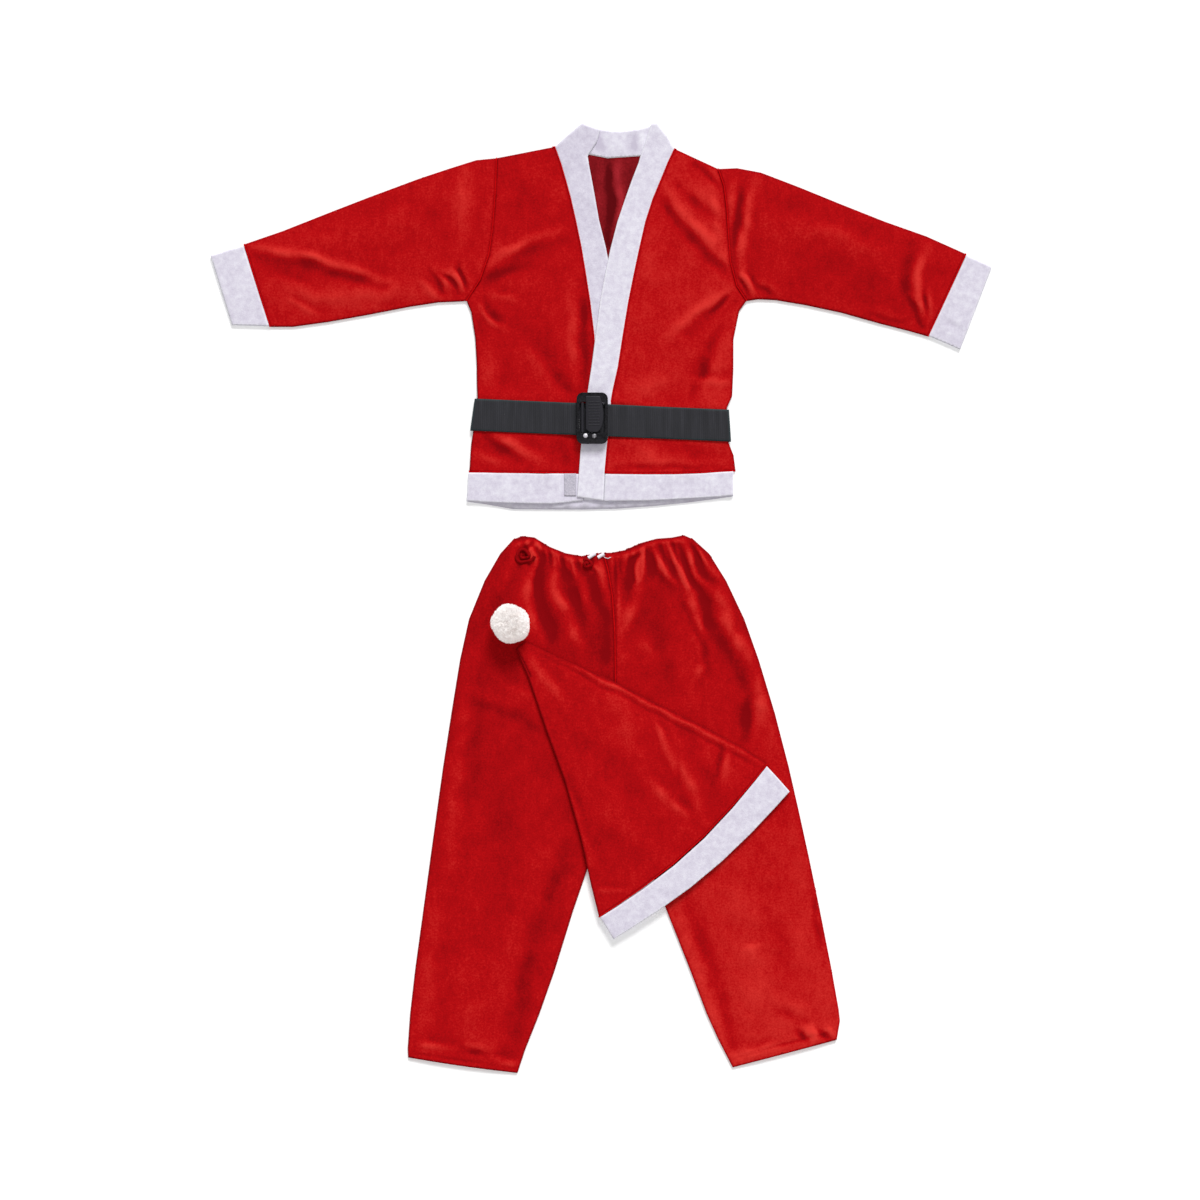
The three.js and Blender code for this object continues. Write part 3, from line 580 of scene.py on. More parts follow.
LEFT_SLEEVE_CREASES = table(
    CREASE,
    (177, 392, 165, 296, -3, 5.5, -1.6, -0.8),
    (194, 398, 176, 268, -8, 7, 1.1, 0.2),
    (169, 281, 184, 258, 2, 2.6, -1.6, 0.6),
    (178, 284, 193, 258, 2, 2.8, 1.1, 0.5),
    (196, 268, 216, 256, 2, 3.5, -0.9, 0.4),
    (260, 303, 352, 262, 6, 17, -1.0, 0.3),
    (230, 340, 330, 318, 4, 18, 0.8, 0.2),
    (389, 318, 384, 250, -5, 7, -1.2, 0.5),
    (384, 252, 402, 222, 0, 4, -1.6, 0.6),
    (404, 262, 407, 230, 0, 3, -1.2, 0.6),
    (396, 300, 398, 258, 0, 5, 0.9, 0.3),
    (340, 232, 376, 222, 0, 4, -0.8, 0.4),
    (222, 378, 372, 322, 0, 11, -0.6, 0.3),
)
RIGHT_FRONT_CREASES = table(
    CREASE,
    (-156, 286, -52, 338, 6, 6, 0.9, -0.7),
    (-152, 272, -90, 296, 4, 6, -0.8, 0.4),
    (-150, 245, -121, 216, -3, 4, 1.1, 0.7),
    (-140, 262, -100, 246, 0, 5, 0.5, 0.5),
    (-111, 402, -60, 352, 0, 16, -0.7, 0.2),
    (-21, 272, -16, 146, -3, 7, -1.3, -0.5),
    (-140, 186, -139, 140, 0, 9, 0.7, 0.4),
    (-90, 186, -58, 140, 0, 8, 0.8, 0.5),
    (-66, 160, -34, 138, 0, 7, -0.7, 0.4),
    (-112, 232, -64, 184, 5, 18, -0.8, 0.2),
    (-144, 84, -104, 55, -2, 6, -1.3, 0.6),
    (-118, 72, -72, 50, 0, 7, 0.8, 0.4),
    (-60, 76, -34, 46, 0, 9, -0.6, 0.3),
    (-156, 60, -120, 46, 0, 6, 0.6, 0.3),
)
LEFT_FRONT_CREASES = table(
    CREASE,
    (73, 380, 155, 288, -3, 6.5, -1.4, 0.75),
    (99, 391, 147, 350, 0, 6, -0.8, 0.5),
    (119, 424, 145, 396, 0, 5, -1.1, 0.6),
    (136, 392, 150, 330, 0, 7, 0.8, 0.3),
    (165, 266, 88, 208, -5, 6.5, 1.1, 0.6),
    (163, 262, 138, 240, 0, 3.5, -1.3, 0.5),
    (148, 212, 117, 134, -4, 9, -1.4, 0.4),
    (128, 180, 128, 160, 0, 5, -0.8, 0.3),
    (86, 160, 44, 136, 0, 12, 0.6, 0.3),
    (60, 262, 62, 330, 0, 14, 0.5, 0.3),
    (96, 66, 132, 60, 0, 9, -0.9, 0.4),
    (30, 78, 74, 52, 0, 10, 0.6, 0.4),
    (20, 42, 158, 43, 0, 4, -0.7, 0.3),
    (118, 152, 160, 148, 0, 5, 0.7, 0.4),
)
BACK_CREASES = table(
    CREASE,
    (10, 426, 9, 322, 2, 5, -1.9, 0.4),
    (24, 424, 22, 360, 0, 7, 0.9, 0.3),
    (-2, 424, 2, 360, 0, 5, 0.6, 0.3),
)
print(len(RIGHT_SLEEVE_CREASES + RIGHT_FRONT_CREASES), "creases on the wearer's right half")

# %% Limits that keep the layers apart
BELT_LEVEL, BELT_SLOPE, BELT_HALF = 102, -0.043, 20
STRAP_UNDER = 5.3


def away_from_belt(plan):
    """0 under the belt, 1 well clear of it."""
    off = np.abs(plan[:, 1] - BELT_LEVEL - BELT_SLOPE * plan[:, 0]) - BELT_HALF
    return smooth((off + 3) / 12)


def under_belt(plan):
    """Highest that the jacket's fronts may stand: below the strap, or anywhere else."""
    off = np.abs(plan[:, 1] - BELT_LEVEL - BELT_SLOPE * plan[:, 0]) - BELT_HALF
    return STRAP_UNDER - 0.1 + 6 * smooth(off / 10)


# %% Jacket: back and fronts
def jacket_panel(node, creases, tone, material=VELOUR_FACE, rumple=0.6, fine=FINE, over=1.3):
    cloth = Cloth(node, fine)
    cloth.even_out(40, 3)
    press_cloth(cloth, JACKET, creases, rumple=rumple, thickness=VELOUR, layers=1, over=over,
                top=under_belt, calm=away_from_belt)
    return finish_cloth(cloth, "cloth_" + node, node, material, VELOUR, tone)


back = jacket_panel("jacket_back", BACK_CREASES, -0.06, VELOUR_BACK, rumple=0.35, fine=4.0, over=0.0)
front_right = jacket_panel("jacket_front_right", RIGHT_FRONT_CREASES, -0.02)
front_left = jacket_panel("jacket_front_left", LEFT_FRONT_CREASES, 0.05)


# %% Jacket: sleeves
def sleeve(node, creases, tone):
    cloth = Cloth(node)
    cloth.even_out(40, 3)
    press_cloth(cloth, JACKET, creases, rumple=0.6, thickness=VELOUR, layers=2, sink=0.2)
    return finish_cloth(cloth, "cloth_" + node, node, VELOUR_FACE, VELOUR, tone)


sleeve_right = sleeve("sleeve_right", RIGHT_SLEEVE_CREASES, 0.02)
sleeve_left = sleeve("sleeve_left", LEFT_SLEEVE_CREASES, -0.02)

# %% [markdown]
# ## White trim
#
# The felt strips are stiffer than the velour: they stay flat and only wave a little. The hem
# band goes all round the jacket, so its back edge shows below its front one.

# %% Felt bands
FELT_FINE = 2.4


def trim(node, creases=(), layers=1, rumple=0.35, tone=0.0):
    cloth = Cloth(node, FELT_FINE)
    cloth.even_out(12, 2)
    press_cloth(cloth, JACKET, creases, rumple=rumple, thickness=FELT, layers=layers)
    return finish_cloth(cloth, "felt_" + node, node, FELT_WHITE, FELT, tone)


HEM_CREASES = table(
    CREASE,
    (-120, 30, -118, 2, 0, 7, 0.5, 0.3), (-70, 28, -74, 0, 0, 9, -0.4, 0.3),
    (64, 30, 60, 4, 0, 8, 0.5, 0.3), (110, 32, 114, 6, 0, 6, -0.4, 0.3),
    (140, 34, 138, 10, 0, 5, 0.5, 0.3),
)
CUFF_CREASES = table(
    CREASE,
    (-478, 268, -470, 246, 0, 4, -0.6, 0.3), (-440, 300, -455, 240, 0, 8, 0.4, 0.3),
    (470, 290, 440, 214, 0, 8, 0.4, 0.3), (432, 224, 452, 214, 0, 4, -0.5, 0.3),
)
NECK_CREASES = table(
    CREASE,
    (-3, 466, 0, 436, 1, 5, -1.9, 0.5), (9, 462, 8, 440, 0, 4, -0.9, 0.4),
    (44, 464, 43, 438, 0, 5, -1.5, 0.5), (26, 458, 26, 438, 0, 5, 0.7, 0.4),
)
cuff_right = trim("cuff_right", creases=CUFF_CREASES, layers=2)
cuff_left = trim("cuff_left", creases=CUFF_CREASES, layers=2)
hem = trim("hem_band", creases=HEM_CREASES, layers=2, tone=0.03)
band_right = trim("front_band_right", tone=(0.02, -0.1))
band_left = trim("front_band_left", tone=(0.1, 0.02))
band_neck = trim("neck_band_back", creases=NECK_CREASES, rumple=0.2)

# %% Closure tape
patch = Cloth("closure_tape", 1.5)
press_cloth(patch, JACKET, [], rumple=0.1, thickness=TAPE, layers=1)
tape_piece = finish_cloth(patch, "hook_closure_tape", "closure_tape", HOOK_TAPE, TAPE)

# %% [markdown]
# ## Belt and buckle
#
# The strap is one length of webbing. The buckle's mouldings have no sharp corners, so each is
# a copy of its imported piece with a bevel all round.

# %% Belt strap
STRAP_CREASES = table(
    CREASE,
    (-36, 126, -34, 84, 0, 3, 0.5, 0.5), (-120, 124, -121, 90, 0, 6, 0.25, 0.3),
    (96, 118, 97, 80, 0, 7, 0.25, 0.3),
)
strap = Cloth("belt_strap", 2.2)
strap.even_out(12, 1)
press_cloth(strap, JACKET, STRAP_CREASES, rumple=0.25, thickness=STRAP, layers=2)
strap_piece = finish_cloth(strap, "webbing_belt_strap", "belt_strap", WEBBING_BLACK, STRAP)


# %% Round tubes for cords, ribs and seams
def tube(name, runs, radius, material):
    """Thin round tubes along runs of points, as one plain mesh."""
    curve = bpy.data.curves.new(name, "CURVE")
    curve.dimensions = "3D"
    curve.bevel_depth = radius * MM
    curve.bevel_resolution = 1
    curve.use_fill_caps = True
    for run in runs:
        spline = curve.splines.new("POLY")
        spline.points.add(len(run) - 1)
        for point, spot in zip(spline.points, run):
            point.co = (*spot, 1)
    curve.materials.append(material)
    drawn = bpy.data.objects.new(name + "_curve", curve)
    bpy.context.scene.collection.objects.link(drawn)
    bpy.context.view_layer.update()
    solid = drawn.evaluated_get(bpy.context.evaluated_depsgraph_get())
    mesh = bpy.data.meshes.new_from_object(solid)
    bpy.data.objects.remove(drawn)
    mesh.shade_smooth()
    piece = bpy.data.objects.new(name, mesh)
    bpy.context.scene.collection.objects.link(piece)
    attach(piece, "root")
    print(f"{name}: {len(runs)} runs")
    return piece


# %% Buckle
def moulding(node, material, bevel):
    """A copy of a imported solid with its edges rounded."""
    bm = bmesh.new()
    bm.from_mesh(NODES[node].data)
    bmesh.ops.remove_doubles(bm, verts=bm.verts, dist=1e-6)
    bmesh.ops.dissolve_limit(bm, angle_limit=0.01, verts=bm.verts, edges=bm.edges)
    mesh = bpy.data.meshes.new(node)
    bm.to_mesh(mesh)
    bm.free()
    mesh.materials.append(material)
    mesh.shade_smooth()
    piece = bpy.data.objects.new("moulded_" + node, mesh)
    bpy.context.scene.collection.objects.link(piece)
    round_off = piece.modifiers.new("bevel", "BEVEL")
    round_off.width = bevel * MM
    round_off.segments = 3
    round_off.limit_method = "ANGLE"
    round_off.angle_limit = math.radians(40)
    round_off.harden_normals = True
    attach(piece, "root")
    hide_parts(node)
    return piece


for node, material, slot, bevel in (
    ("buckle_frame", PLASTIC_GLOSS, "buckle_plastic", 1.1),
    ("buckle_lever", PLASTIC_SATIN, "buckle_plastic", 1.0),
    ("buckle_bar", PLASTIC_SATIN, "buckle_plastic", 0.7),
    ("buckle_rivet_1", RIVET_PAINTED_GLINT, "rivet_steel", 0.25),
    ("buckle_rivet_2", RIVET_UNLIT, "rivet_steel", 0.25),
):
    moulding(node, material, bevel)

lever_low, lever_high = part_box("buckle_lever")
RIB_COUNT, RIB_FOOT, RIB_GAP, RIB_INSET, RIB_STEP = 9, 9.0, 3.6, 3.0, 3.6
ribs = []
for rib in range(RIB_COUNT):
    level = lever_low.y + (RIB_FOOT + RIB_GAP * rib) * MM
    places = [lever_low.x + (RIB_INSET + RIB_STEP * t) * MM for t in range(5)]
    ribs.append([Vector((place, level, lever_high.z)) for place in places])
tube("buckle_lever_ribs", ribs, 0.5, PLASTIC_SATIN)

# %% [markdown]
# ## Trousers
#
# Elastic in the waist gathers the cloth, so folds run down from it like rays, deep and narrow
# at the waist, wide and shallow at the hip. Below the hat, the legs hang in long soft waves.

# %% Crease tables of the trousers
WAIST_CREASES = table(
    CREASE,
    (-114, -8, -118, -36, 6, 3, -1.8, 0.6), (-104, -10, -108, -34, -5, 2.8, -1.6, 0.6),
    (-110, -14, -104, -44, 8, 3.5, 1.8, 0.5), (-98, -8, -92, -20, 0, 3, 1.6, 0.6),
    (-122, -20, -136, -60, 0, 7, 0.9, 0.5), (-130, -44, -160, -110, 4, 10, -0.7, 0.4),
    (-96, -40, -78, -122, -6, 8, -2.6, -0.5), (-76, -40, -60, -100, -4, 7, 1.4, 0.5),
    (-60, -98, -42, -142, 0, 8, 1.0, 0.5), (-64, -34, -46, -92, 0, 6, -1.1, 0.4),
    (-36, -48, -12, -96, 4, 7, -1.8, 0.5), (-12, -96, -9, -170, 0, 9, -1.3, 0.4),
    (-40, -30, -30, -44, 3, 3, 1.8, 0.6), (-30, -34, -26, -46, -2, 2.4, -2.0, 0.6),
    (-20, -30, -14, -60, 0, 5, 0.9, 0.5), (0, -30, 0, -176, 0, 1.8, -0.9, 0.5),
    (31, -74, 11, -113, 0, 8, 1.3, 0.5), (20, -30, 14, -72, 0, 6, -0.9, 0.4),
    (28, -22, 22, -54, -4, 3.4, -2.3, 0.6), (35, -20, 33, -52, 2, 3, 1.7, 0.4),
    (44, -18, 46, -50, 0, 4, -1.5, 0.5), (51, -22, 72, -56, -3, 4, 1.6, -0.7),
    (62, -22, 84, -60, -2, 4.5, -1.4, 0.4), (79, -16, 106, -64, -4, 4.5, -2.2, -0.8),
    (88, -14, 116, -58, -4, 4.5, 1.6, 0.4), (106, -64, 156, -166, -8, 9, -1.5, 0.5),
    (156, -166, 162, -250, 6, 9, -1.1, 0.4), (83, -52, 104, -140, 6, 7, 1.2, 0.4),
    (86, -88, 112, -154, 4, 5, -1.1, 0.4), (104, -26, 132, -70, -3, 5, -1.2, 0.5),
    (50, -84, 66, -190, 0, 12, -0.7, 0.4), (126, -52, 168, -150, -4, 9, 1.0, 0.4),
    (30, -130, 46, -150, 0, 8, 0.6, 0.4), (112, -154, 100, -176, 0, 5, 0.7, 0.4),
)
GATHERS = table(
    CREASE,
    (-92, -13, -88, -30, 0, 1.8, -1.0, 0.6), (-84, -16, -80, -40, 1, 2.2, -1.2, 0.6),
    (-73, -20, -68, -38, 0, 1.8, 0.9, 0.5), (-66, -23, -62, -48, 0, 2.0, -1.0, 0.6),
    (-54, -27, -50, -50, 1, 2.4, 1.0, 0.6), (-46, -29, -42, -44, 0, 1.6, -0.9, 0.5),
    (-8, -27, -10, -44, 0, 1.8, -0.9, 0.5), (-2, -26, -4, -52, 0, 2.0, 0.9, 0.5),
    (8, -24, 6, -46, 0, 2.0, -1.0, 0.6), (15, -20, 14, -38, 0, 1.6, 0.8, 0.5),
    (40, -14, 38, -40, 0, 1.8, -1.1, 0.6), (57, -11, 62, -36, 0, 1.8, -1.0, 0.6),
    (66, -10, 74, -34, 0, 2.2, 1.2, 0.5), (72, -9, 82, -40, -1, 2.0, -1.3, 0.6),
    (94, -8, 108, -34, 0, 2.0, -1.0, 0.6), (101, -12, 118, -40, 0, 2.4, 0.9, 0.5),
)
CASING = table(
    CREASE,
    (-124, -10, -100, -9, 2, 4, 1.2, 0.5), (-96, -12, -66, -25, -1, 4, 1.0, 0.5),
    (-66, -25, -40, -30, 0, 4, 0.9, 0.5), (-14, -26, 10, -25, 0, 4, 0.8, 0.5),
    (10, -25, 44, -12, 0, 4, 1.1, 0.6), (44, -11, 92, -6, 2, 4, 1.2, 0.6),
)
RIGHT_LEG_CREASES = table(
    CREASE,
    (-186, -190, -212, -432, 0, 13, 1.0, -0.5), (-168, -190, -186, -340, 0, 11, -0.7, 0.3),
    (-176, -208, -88, -246, 4, 7, -0.6, 0.4), (-150, -176, -96, -214, 0, 9, 0.6, 0.4),
    (-60, -392, -100, -494, 2, 12, -1.0, -0.3), (-100, -494, -130, -640, 0, 12, -1.3, -0.4),
    (-142, -300, -150, -470, 4, 20, -0.7, 0.2), (-226, -470, -240, -640, 0, 11, 0.7, 0.3),
    (-190, -520, -176, -640, 0, 16, 0.6, 0.3), (-190, -642, -164, -647, 0, 4, -1.0, 0.5),
    (-244, -634, -200, -642, 0, 4, 0.8, 0.5), (-150, -652, -126, -660, 0, 5, 0.8, 0.5),
    (-114, -150, -92, -200, 0, 9, 0.8, 0.4), (-256, -645, -124, -665, 0, 1.6, -0.6, 0.1),
)
LEFT_LEG_CREASES = table(
    CREASE,
    (94, -462, 123, -545, 0, 10, -1.2, -0.5), (123, -545, 148, -632, 0, 10, -1.2, -0.5),
    (150, -420, 172, -560, 6, 18, 0.7, 0.3), (245, -420, 260, -535, 0, 5, -0.7, 0.4),
    (166, -516, 180, -512, 0, 4, 0.6, 0.4), (224, -350, 236, -420, 0, 12, 0.6, 0.3),
    (200, -590, 232, -606, 0, 7, -0.8, 0.4), (230, -620, 238, -630, 0, 4, -1.4, 0.5),
    (258, -620, 268, -630, 0, 4, -1.7, 0.5), (246, -616, 250, -628, 0, 4, 1.6, 0.3),
    (150, -650, 200, -640, 0, 5, 0.8, 0.5), (168, -212, 160, -250, 0, 6, -1.0, 0.4),
    (190, -470, 214, -560, 0, 16, -0.6, 0.3), (176, -180, 200, -260, 0, 10, 0.8, 0.3),
    (146, -653, 277, -617, 0, 1.8, -0.7, 0.1),
)
print(len(WAIST_CREASES), "folds run down from the waist")

# %% Trouser legs
HAT_REST = low("hat_cone").z


def under_hat(plan):
    """Highest that the legs may stand: below the hat, and higher only round the waist."""
    return HAT_REST - 0.15 + 6 * smooth((plan[:, 1] + 118) / 40)


def leg(node, creases, tone):
    cloth = Cloth(node)
    cloth.even_out(45, 3)
    creases = WAIST_CREASES + GATHERS + CASING + creases
    press_cloth(cloth, TROUSERS, creases, rumple=0.6, thickness=VELOUR, layers=2, sink=0.5,
                top=under_hat)
    return finish_cloth(cloth, "cloth_" + node, node, VELOUR_FACE, VELOUR, tone)


leg_right = leg("leg_right", RIGHT_LEG_CREASES, (-0.01, -0.12))
leg_left = leg("leg_left", LEFT_LEG_CREASES, (0.15, -0.12))

# %% [markdown]
# ## Hat
#
# One piece of velour folded into a cone and sewn along the edge that lies uppermost, where the
# seam allowance inside makes a hard little ridge.

# %% Hat cone and brim
def hat_spot(x, y):
    """A place in the hat's own plan, point at zero and open end at -Y, turned as the hat lies."""
    c, s = math.cos(HAT_TURN), math.sin(HAT_TURN)
    return (x * c - y * s, x * s + y * c)


def hat_row(x0, y0, x1, y1, *rest):
    """A crease of the hat's plan, turned as the hat lies."""
    return (*hat_spot(x0, y0), *hat_spot(x1, y1), *rest)


HAT_CREASES = table(
    CREASE,
    hat_row(18, -12, 141, -316, 0, 1.9, 1.1, 0.7), hat_row(12, -14, 133, -316, 0, 2.4, -0.7, 0.3),
    hat_row(67, -193, 47, -252, 0, 4.5, 0.9, 0.5), hat_row(65, -210, 34, -316, 5, 6, 0.8, -0.5),
    hat_row(18, -238, 24, -300, 0, 6, 0.8, 0.4), hat_row(109, -267, 86, -285, 0, 4, -1.4, 0.5),
    hat_row(-122, -295, -94, -323, 0, 3.5, 0.5, 0.4), hat_row(4, -30, 2, -86, 0, 6, 0.8, 0.4),
    hat_row(-20, -120, -10, -250, 8, 16, -0.9, 0.2), hat_row(60, -120, 30, -190, 0, 12, 0.7, 0.4),
    hat_row(-70, -240, -50, -320, 0, 12, -0.6, 0.3), hat_row(-40, -90, -104, -270, -3, 6, 0.7, 0.5),
    hat_row(90, -220, 70, -312, 0, 10, -0.6, 0.4),
)


def hat_part(node, creases, material, slot, thickness, tone, rumple, fine=FINE):
    cloth = Cloth(node, fine)
    cloth.even_out(30, 2)
    press_cloth(cloth, HAT, creases, rumple=rumple, thickness=thickness, layers=2)
    return finish_cloth(cloth, "hat_" + slot, node, material, thickness, tone)


hat_cone = hat_part("hat_cone", HAT_CREASES, VELOUR_FACE, "red_velour", VELOUR, -0.02, 0.5)
hat_brim = hat_part("hat_brim", [], FELT_WHITE, "white_felt", FELT, 0.0, 0.35, FELT_FINE)

# %% [markdown]
# ## Seams
#
# Where two pieces are sewn together the cloth rolls over the stitches as a thin raised line,
# coloured a brighter red than the cloth as a painted highlight.
# Each line follows the edge of one finished piece, wherever that edge lies along the other's.

# %% Seam rolls
def edge_chains(piece, other, reach):
    """Runs of points on the upper edge of piece that lie within reach of the edge of other."""
    beside = bmesh.new()
    beside.from_mesh(other.data)
    spots = [v.co for v in beside.verts if v.is_boundary]
    near = KDTree(len(spots))
    for i, spot in enumerate(spots):
        near.insert((spot.x, spot.y, 0), i)
    near.balance()
    beside.free()
    bm = bmesh.new()
    bm.from_mesh(piece.data)
    joined = {}
    for edge in bm.edges:
        if edge.is_boundary and edge.link_faces[0].normal.z > 0.2:
            if all(near.find((v.co.x, v.co.y, 0))[2] < reach for v in edge.verts):
                one, two = edge.verts
                for here, there in ((one, two), (two, one)):
                    joined.setdefault(here.index, []).append(there.index)
    bm.verts.ensure_lookup_table()
    chains, used = [], set()
    for start in sorted(joined, key=lambda i: len(joined[i])):
        chain, here = [], start
        while here is not None and here not in used:
            used.add(here)
            chain.append(bm.verts[here].co.copy())
            here = next((i for i in joined[here] if i not in used), None)
        if len(chain) > 4:
            chains.append(chain)
    bm.free()
    return chains


def seam(name, piece, other, radius=1.0, reach=3.5, lift=0.1):
    runs = edge_chains(piece, other, reach * MM)
    for run in runs:
        for spot in run:
            spot.z += lift * MM
    return tube("seam_" + name, runs, radius, SEAM_PAINTED_HIGHLIGHT)


# The seam rolls are velour in a brighter red: a painted highlight along each roll.
SEAM_PAINTED_HIGHLIGHT = velour("velour_seam_roll_painted_highlight", "#b00208", "#d80c0e", "#f02a22", 0.2)
for name, piece, other in (
    ("armhole_right", sleeve_right, front_right), ("armhole_left", sleeve_left, front_left),
    ("centre_front", leg_left, leg_right), ("band_right", front_right, band_right),
    ("band_left", front_left, band_left), ("hem_right", front_right, hem),
    ("hem_left", front_left, hem), ("cuff_right", sleeve_right, cuff_right),
    ("cuff_left", sleeve_left, cuff_left), ("brim", hat_cone, hat_brim),
):
    seam(name, piece, other)

# %% [markdown]
# ## Knots in the waist
#
# The elastic's cord comes out of the casing twice. Pulled tight, the cloth winds up into a
# small swirl round the larger knot. At the middle, two white ends of elastic and a loose
# thread show beside a smaller one.

# %% Knots, elastic ends and thread
def on_cloth(piece, spots, lift):
    """Points of the trousers' plan, set on top of piece."""
    corners = np.array([v.co for v in piece.data.vertices]) / MM
    tops = corners[np.array([v.normal.z for v in piece.data.vertices]) > 0.3]
    run = []
    for x, y in np.array(spots) + TROUSERS:
        nearest = tops[np.argsort(np.hypot(*(tops[:, :2] - (x, y)).T))[:6]]
        run.append(Vector((x, y, nearest[:, 2].max() + lift)) * MM)
    return run


def swirl(x, y, inner, outer, turns, start):
    """A spiral of points round (x, y)."""
    steps = int(26 * turns)
    spots = []
    for i in range(steps + 1):
        t = i / steps
        angle = start + math.tau * turns * t
        reach = (inner + (outer - inner) * t) * (1 + 0.13 * math.cos(3 * angle + 0.7))
        spots.append((x + reach * math.cos(angle), y + 0.85 * reach * math.sin(angle)))
    return spots


knots = [on_cloth(leg_right, swirl(-114, -24, 2.5, 12.0, 1.6, 2.4), 0.3),
         on_cloth(leg_right, swirl(-35, -35, 1.6, 6.4, 1.25, 0.6), 0.2)]
tube("cord_knots", knots, 2.3, VELOUR_FACE)
elastic = [on_cloth(leg_right, [(-33.5, -27.5), (-29, -24.5), (-24.5, -22)], 1.0),
           on_cloth(leg_right, [(-21.5, -27), (-17.5, -24.5), (-13.5, -22.5)], 1.0)]
tube("elastic_ends", elastic, 2.2, WHITE_THREAD)
loose = [on_cloth(leg_right, [(-15, -25), (-12, -27.5), (-8.5, -28), (-5, -26.5)], 0.5)]
tube("loose_thread", loose, 0.4, WHITE_THREAD)

# %% [markdown]
# ## Pompon
#
# A pompon is hundreds of tufts of soft yarn tied at their middle and clipped round. Geometry
# Nodes scatter small tapered tufts over a core and turn each along the surface, with a slow
# noise that bends neighbours together into clumps.

# %% Pompon
CORE_SHARE = 0.82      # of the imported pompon's reach; the tufts make up the rest


def pompon():
    core_bm = bmesh.new()
    core_bm.from_mesh(NODES["hat_pompon"].data)
    bmesh.ops.remove_doubles(core_bm, verts=core_bm.verts, dist=1e-6)
    middle = sum((v.co for v in core_bm.verts), Vector()) / len(core_bm.verts)
    for vert in core_bm.verts:
        vert.co = middle + (vert.co - middle) * CORE_SHARE
    mesh = bpy.data.meshes.new("pompon")
    core_bm.to_mesh(mesh)
    core_bm.free()
    mesh.shade_smooth()
    mesh.materials.append(PLUSH)
    core = bpy.data.objects.new("pompon", mesh)
    bpy.context.scene.collection.objects.link(core)

    tree = bpy.data.node_groups.new("tufts", "GeometryNodeTree")
    tree.interface.new_socket("Geometry", in_out="INPUT", socket_type="NodeSocketGeometry")
    for name in ("Density", "Length", "Thickness"):
        tree.interface.new_socket(name, in_out="INPUT", socket_type="NodeSocketFloat")
    tree.interface.new_socket("Geometry", in_out="OUTPUT", socket_type="NodeSocketGeometry")
    group = tree.nodes.new("NodeGroupInput")
    tuft = add(tree, "GeometryNodeMeshCone", {"fill_type": "NONE"}, Vertices=3, Side_Segments=1,
               Radius_Top=0.0001, Radius_Bottom=group.outputs["Thickness"],
               Depth=group.outputs["Length"])
    spread = add(tree, "GeometryNodeDistributePointsOnFaces", Mesh=group.outputs["Geometry"],
                 Density=group.outputs["Density"], Seed=5)
    place = add(tree, "GeometryNodeInputPosition")
    drift = add(tree, "ShaderNodeTexNoise", Vector=place.outputs[0], Scale=230.0, Detail=1.0)
    centred = add(tree, "ShaderNodeVectorMath", {"operation": "SUBTRACT"},
                  i0=drift.outputs["Color"], i1=(0.5, 0.5, 0.5))
    lean = add(tree, "ShaderNodeVectorMath", {"operation": "SCALE"}, i0=centred.outputs[0],
               Scale=2.0)
    heading = add(tree, "ShaderNodeVectorMath", {"operation": "ADD"},
                  i0=spread.outputs["Normal"], i1=lean.outputs[0])
    turn = add(tree, "FunctionNodeAlignEulerToVector", {"axis": "Z"}, Vector=heading.outputs[0])
    size = add(tree, "FunctionNodeRandomValue", Min=0.65, Max=1.1, Seed=9)
    placed = add(tree, "GeometryNodeInstanceOnPoints", Points=spread.outputs["Points"],
                 Instance=tuft.outputs["Mesh"], Rotation=turn.outputs[0], Scale=size.outputs[1])
    both = tree.nodes.new("GeometryNodeJoinGeometry")
    tree.links.new(group.outputs["Geometry"], both.inputs[0])
    tree.links.new(placed.outputs[0], both.inputs[0])
    solid = add(tree, "GeometryNodeRealizeInstances", Geometry=both.outputs[0])
    coloured = add(tree, "GeometryNodeSetMaterial", Geometry=solid.outputs[0], Material=PLUSH)
    tree.links.new(coloured.outputs[0], tree.nodes.new("NodeGroupOutput").inputs[0])
    return as_plain_mesh(core, tree, {"Density": 3.6e6, "Length": 0.0046, "Thickness": 0.00055})


def as_plain_mesh(base, tree, values):
    """Runs a Geometry Nodes tree on base and keeps the result as an ordinary mesh."""
    modifier = base.modifiers.new("nodes", "NODES")
    modifier.node_group = tree
    sockets = {s.name: s.identifier for s in tree.interface.items_tree if s.in_out == "INPUT"}
    for name, value in values.items():
        modifier[sockets[name]] = value
    bpy.context.view_layer.update()
    seen = base.evaluated_get(bpy.context.evaluated_depsgraph_get())
    mesh = bpy.data.meshes.new_from_object(seen)
    base.modifiers.remove(modifier)
    base.data = mesh
    print(f"{base.name}: {len(mesh.polygons)} faces")
    return base


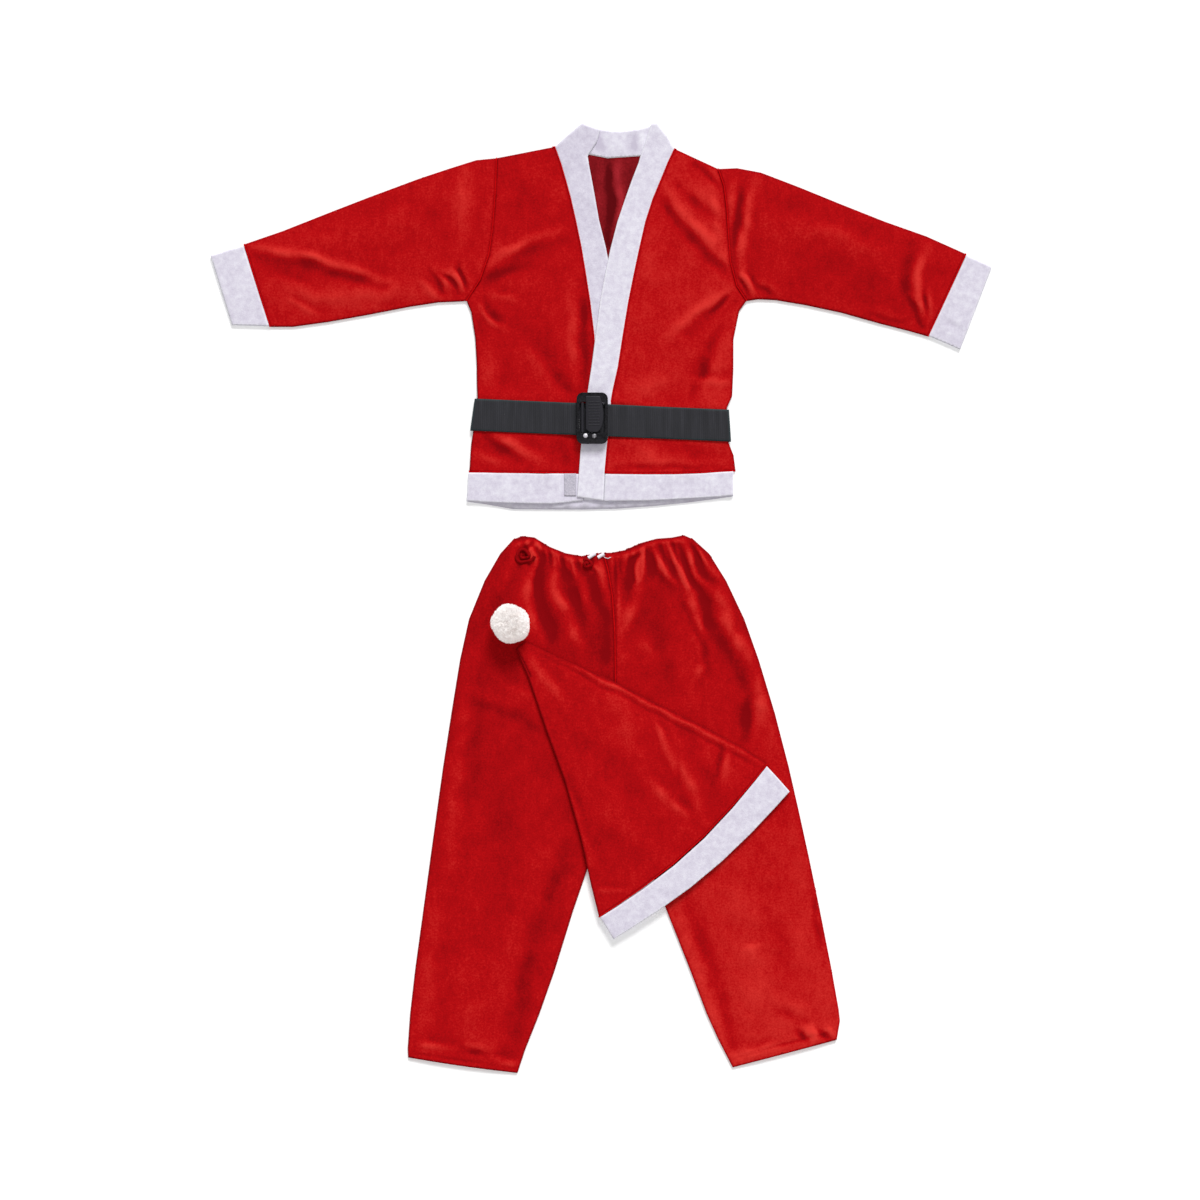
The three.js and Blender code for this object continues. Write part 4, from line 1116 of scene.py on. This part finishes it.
puff = pompon()
puff.name = "plush_pompon"
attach(puff, "root")
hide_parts("hat_pompon")

# %% [markdown]
# ## Floor, light and camera
#
# A white table top fills the view, and glows a little so that it stays white beside the suit.
# A large soft lamp stands beyond the collar and lights the creases from one side; a faint wide
# one over the trouser hems and a pale world fill the shadows. The camera looks straight down
# through a long lens, so the suit keeps its flat outline.

# %% Floor
def floor():
    mesh = bpy.data.meshes.new("table_top")
    reach, level = 6.0, -0.0006
    corners = [(x * reach, y * reach, level) for x, y in ((-1, -1), (1, -1), (1, 1), (-1, 1))]
    mesh.from_pydata(corners, [], [(0, 1, 2, 3)])
    laminate = new_material(
        "white_table_laminate", Base_Color=(0.94, 0.94, 0.94, 1), Roughness=0.9,
        Specular_IOR_Level=0.1, Emission_Color=(1, 1, 1, 1), Emission_Strength=0.2)
    mesh.materials.append(laminate[0])
    top = bpy.data.objects.new("table_top", mesh)
    bpy.context.scene.collection.objects.link(top)


floor()


# %% Lamps
def lamp(name, azimuth, elevation, strength, spread):
    """A broad lamp so far off that it lights the whole table evenly."""
    data = bpy.data.lights.new(name, "SUN")
    data.energy = strength
    data.angle = math.radians(spread)
    light = bpy.data.objects.new(name, data)
    light.rotation_euler = (math.radians(90 - elevation), 0, math.radians(azimuth))
    bpy.context.scene.collection.objects.link(light)


lamp("key", 168, 36, 2.9, 24)
lamp("fill", 20, 60, 0.3, 60)
world = bpy.data.worlds.new("studio")
world.use_nodes = True
world.node_tree.nodes["Background"].inputs["Color"].default_value = (1, 1, 1, 1)
world.node_tree.nodes["Background"].inputs["Strength"].default_value = 0.46
scene = bpy.context.scene
scene.world = world
scene.view_settings.view_transform = "Standard"

# %% Camera
FIELD = 1.5            # metres of table that the view covers
DISTANCE = 4.0
camera_data = bpy.data.cameras.new("camera")
camera_data.sensor_width = 36
camera_data.lens = 36 * DISTANCE / FIELD
camera = bpy.data.objects.new("camera", camera_data)
camera.location = (JACKET[0] * MM - 0.00125, JACKET[1] * MM - 0.1225, DISTANCE)
scene.collection.objects.link(camera)
scene.camera = camera
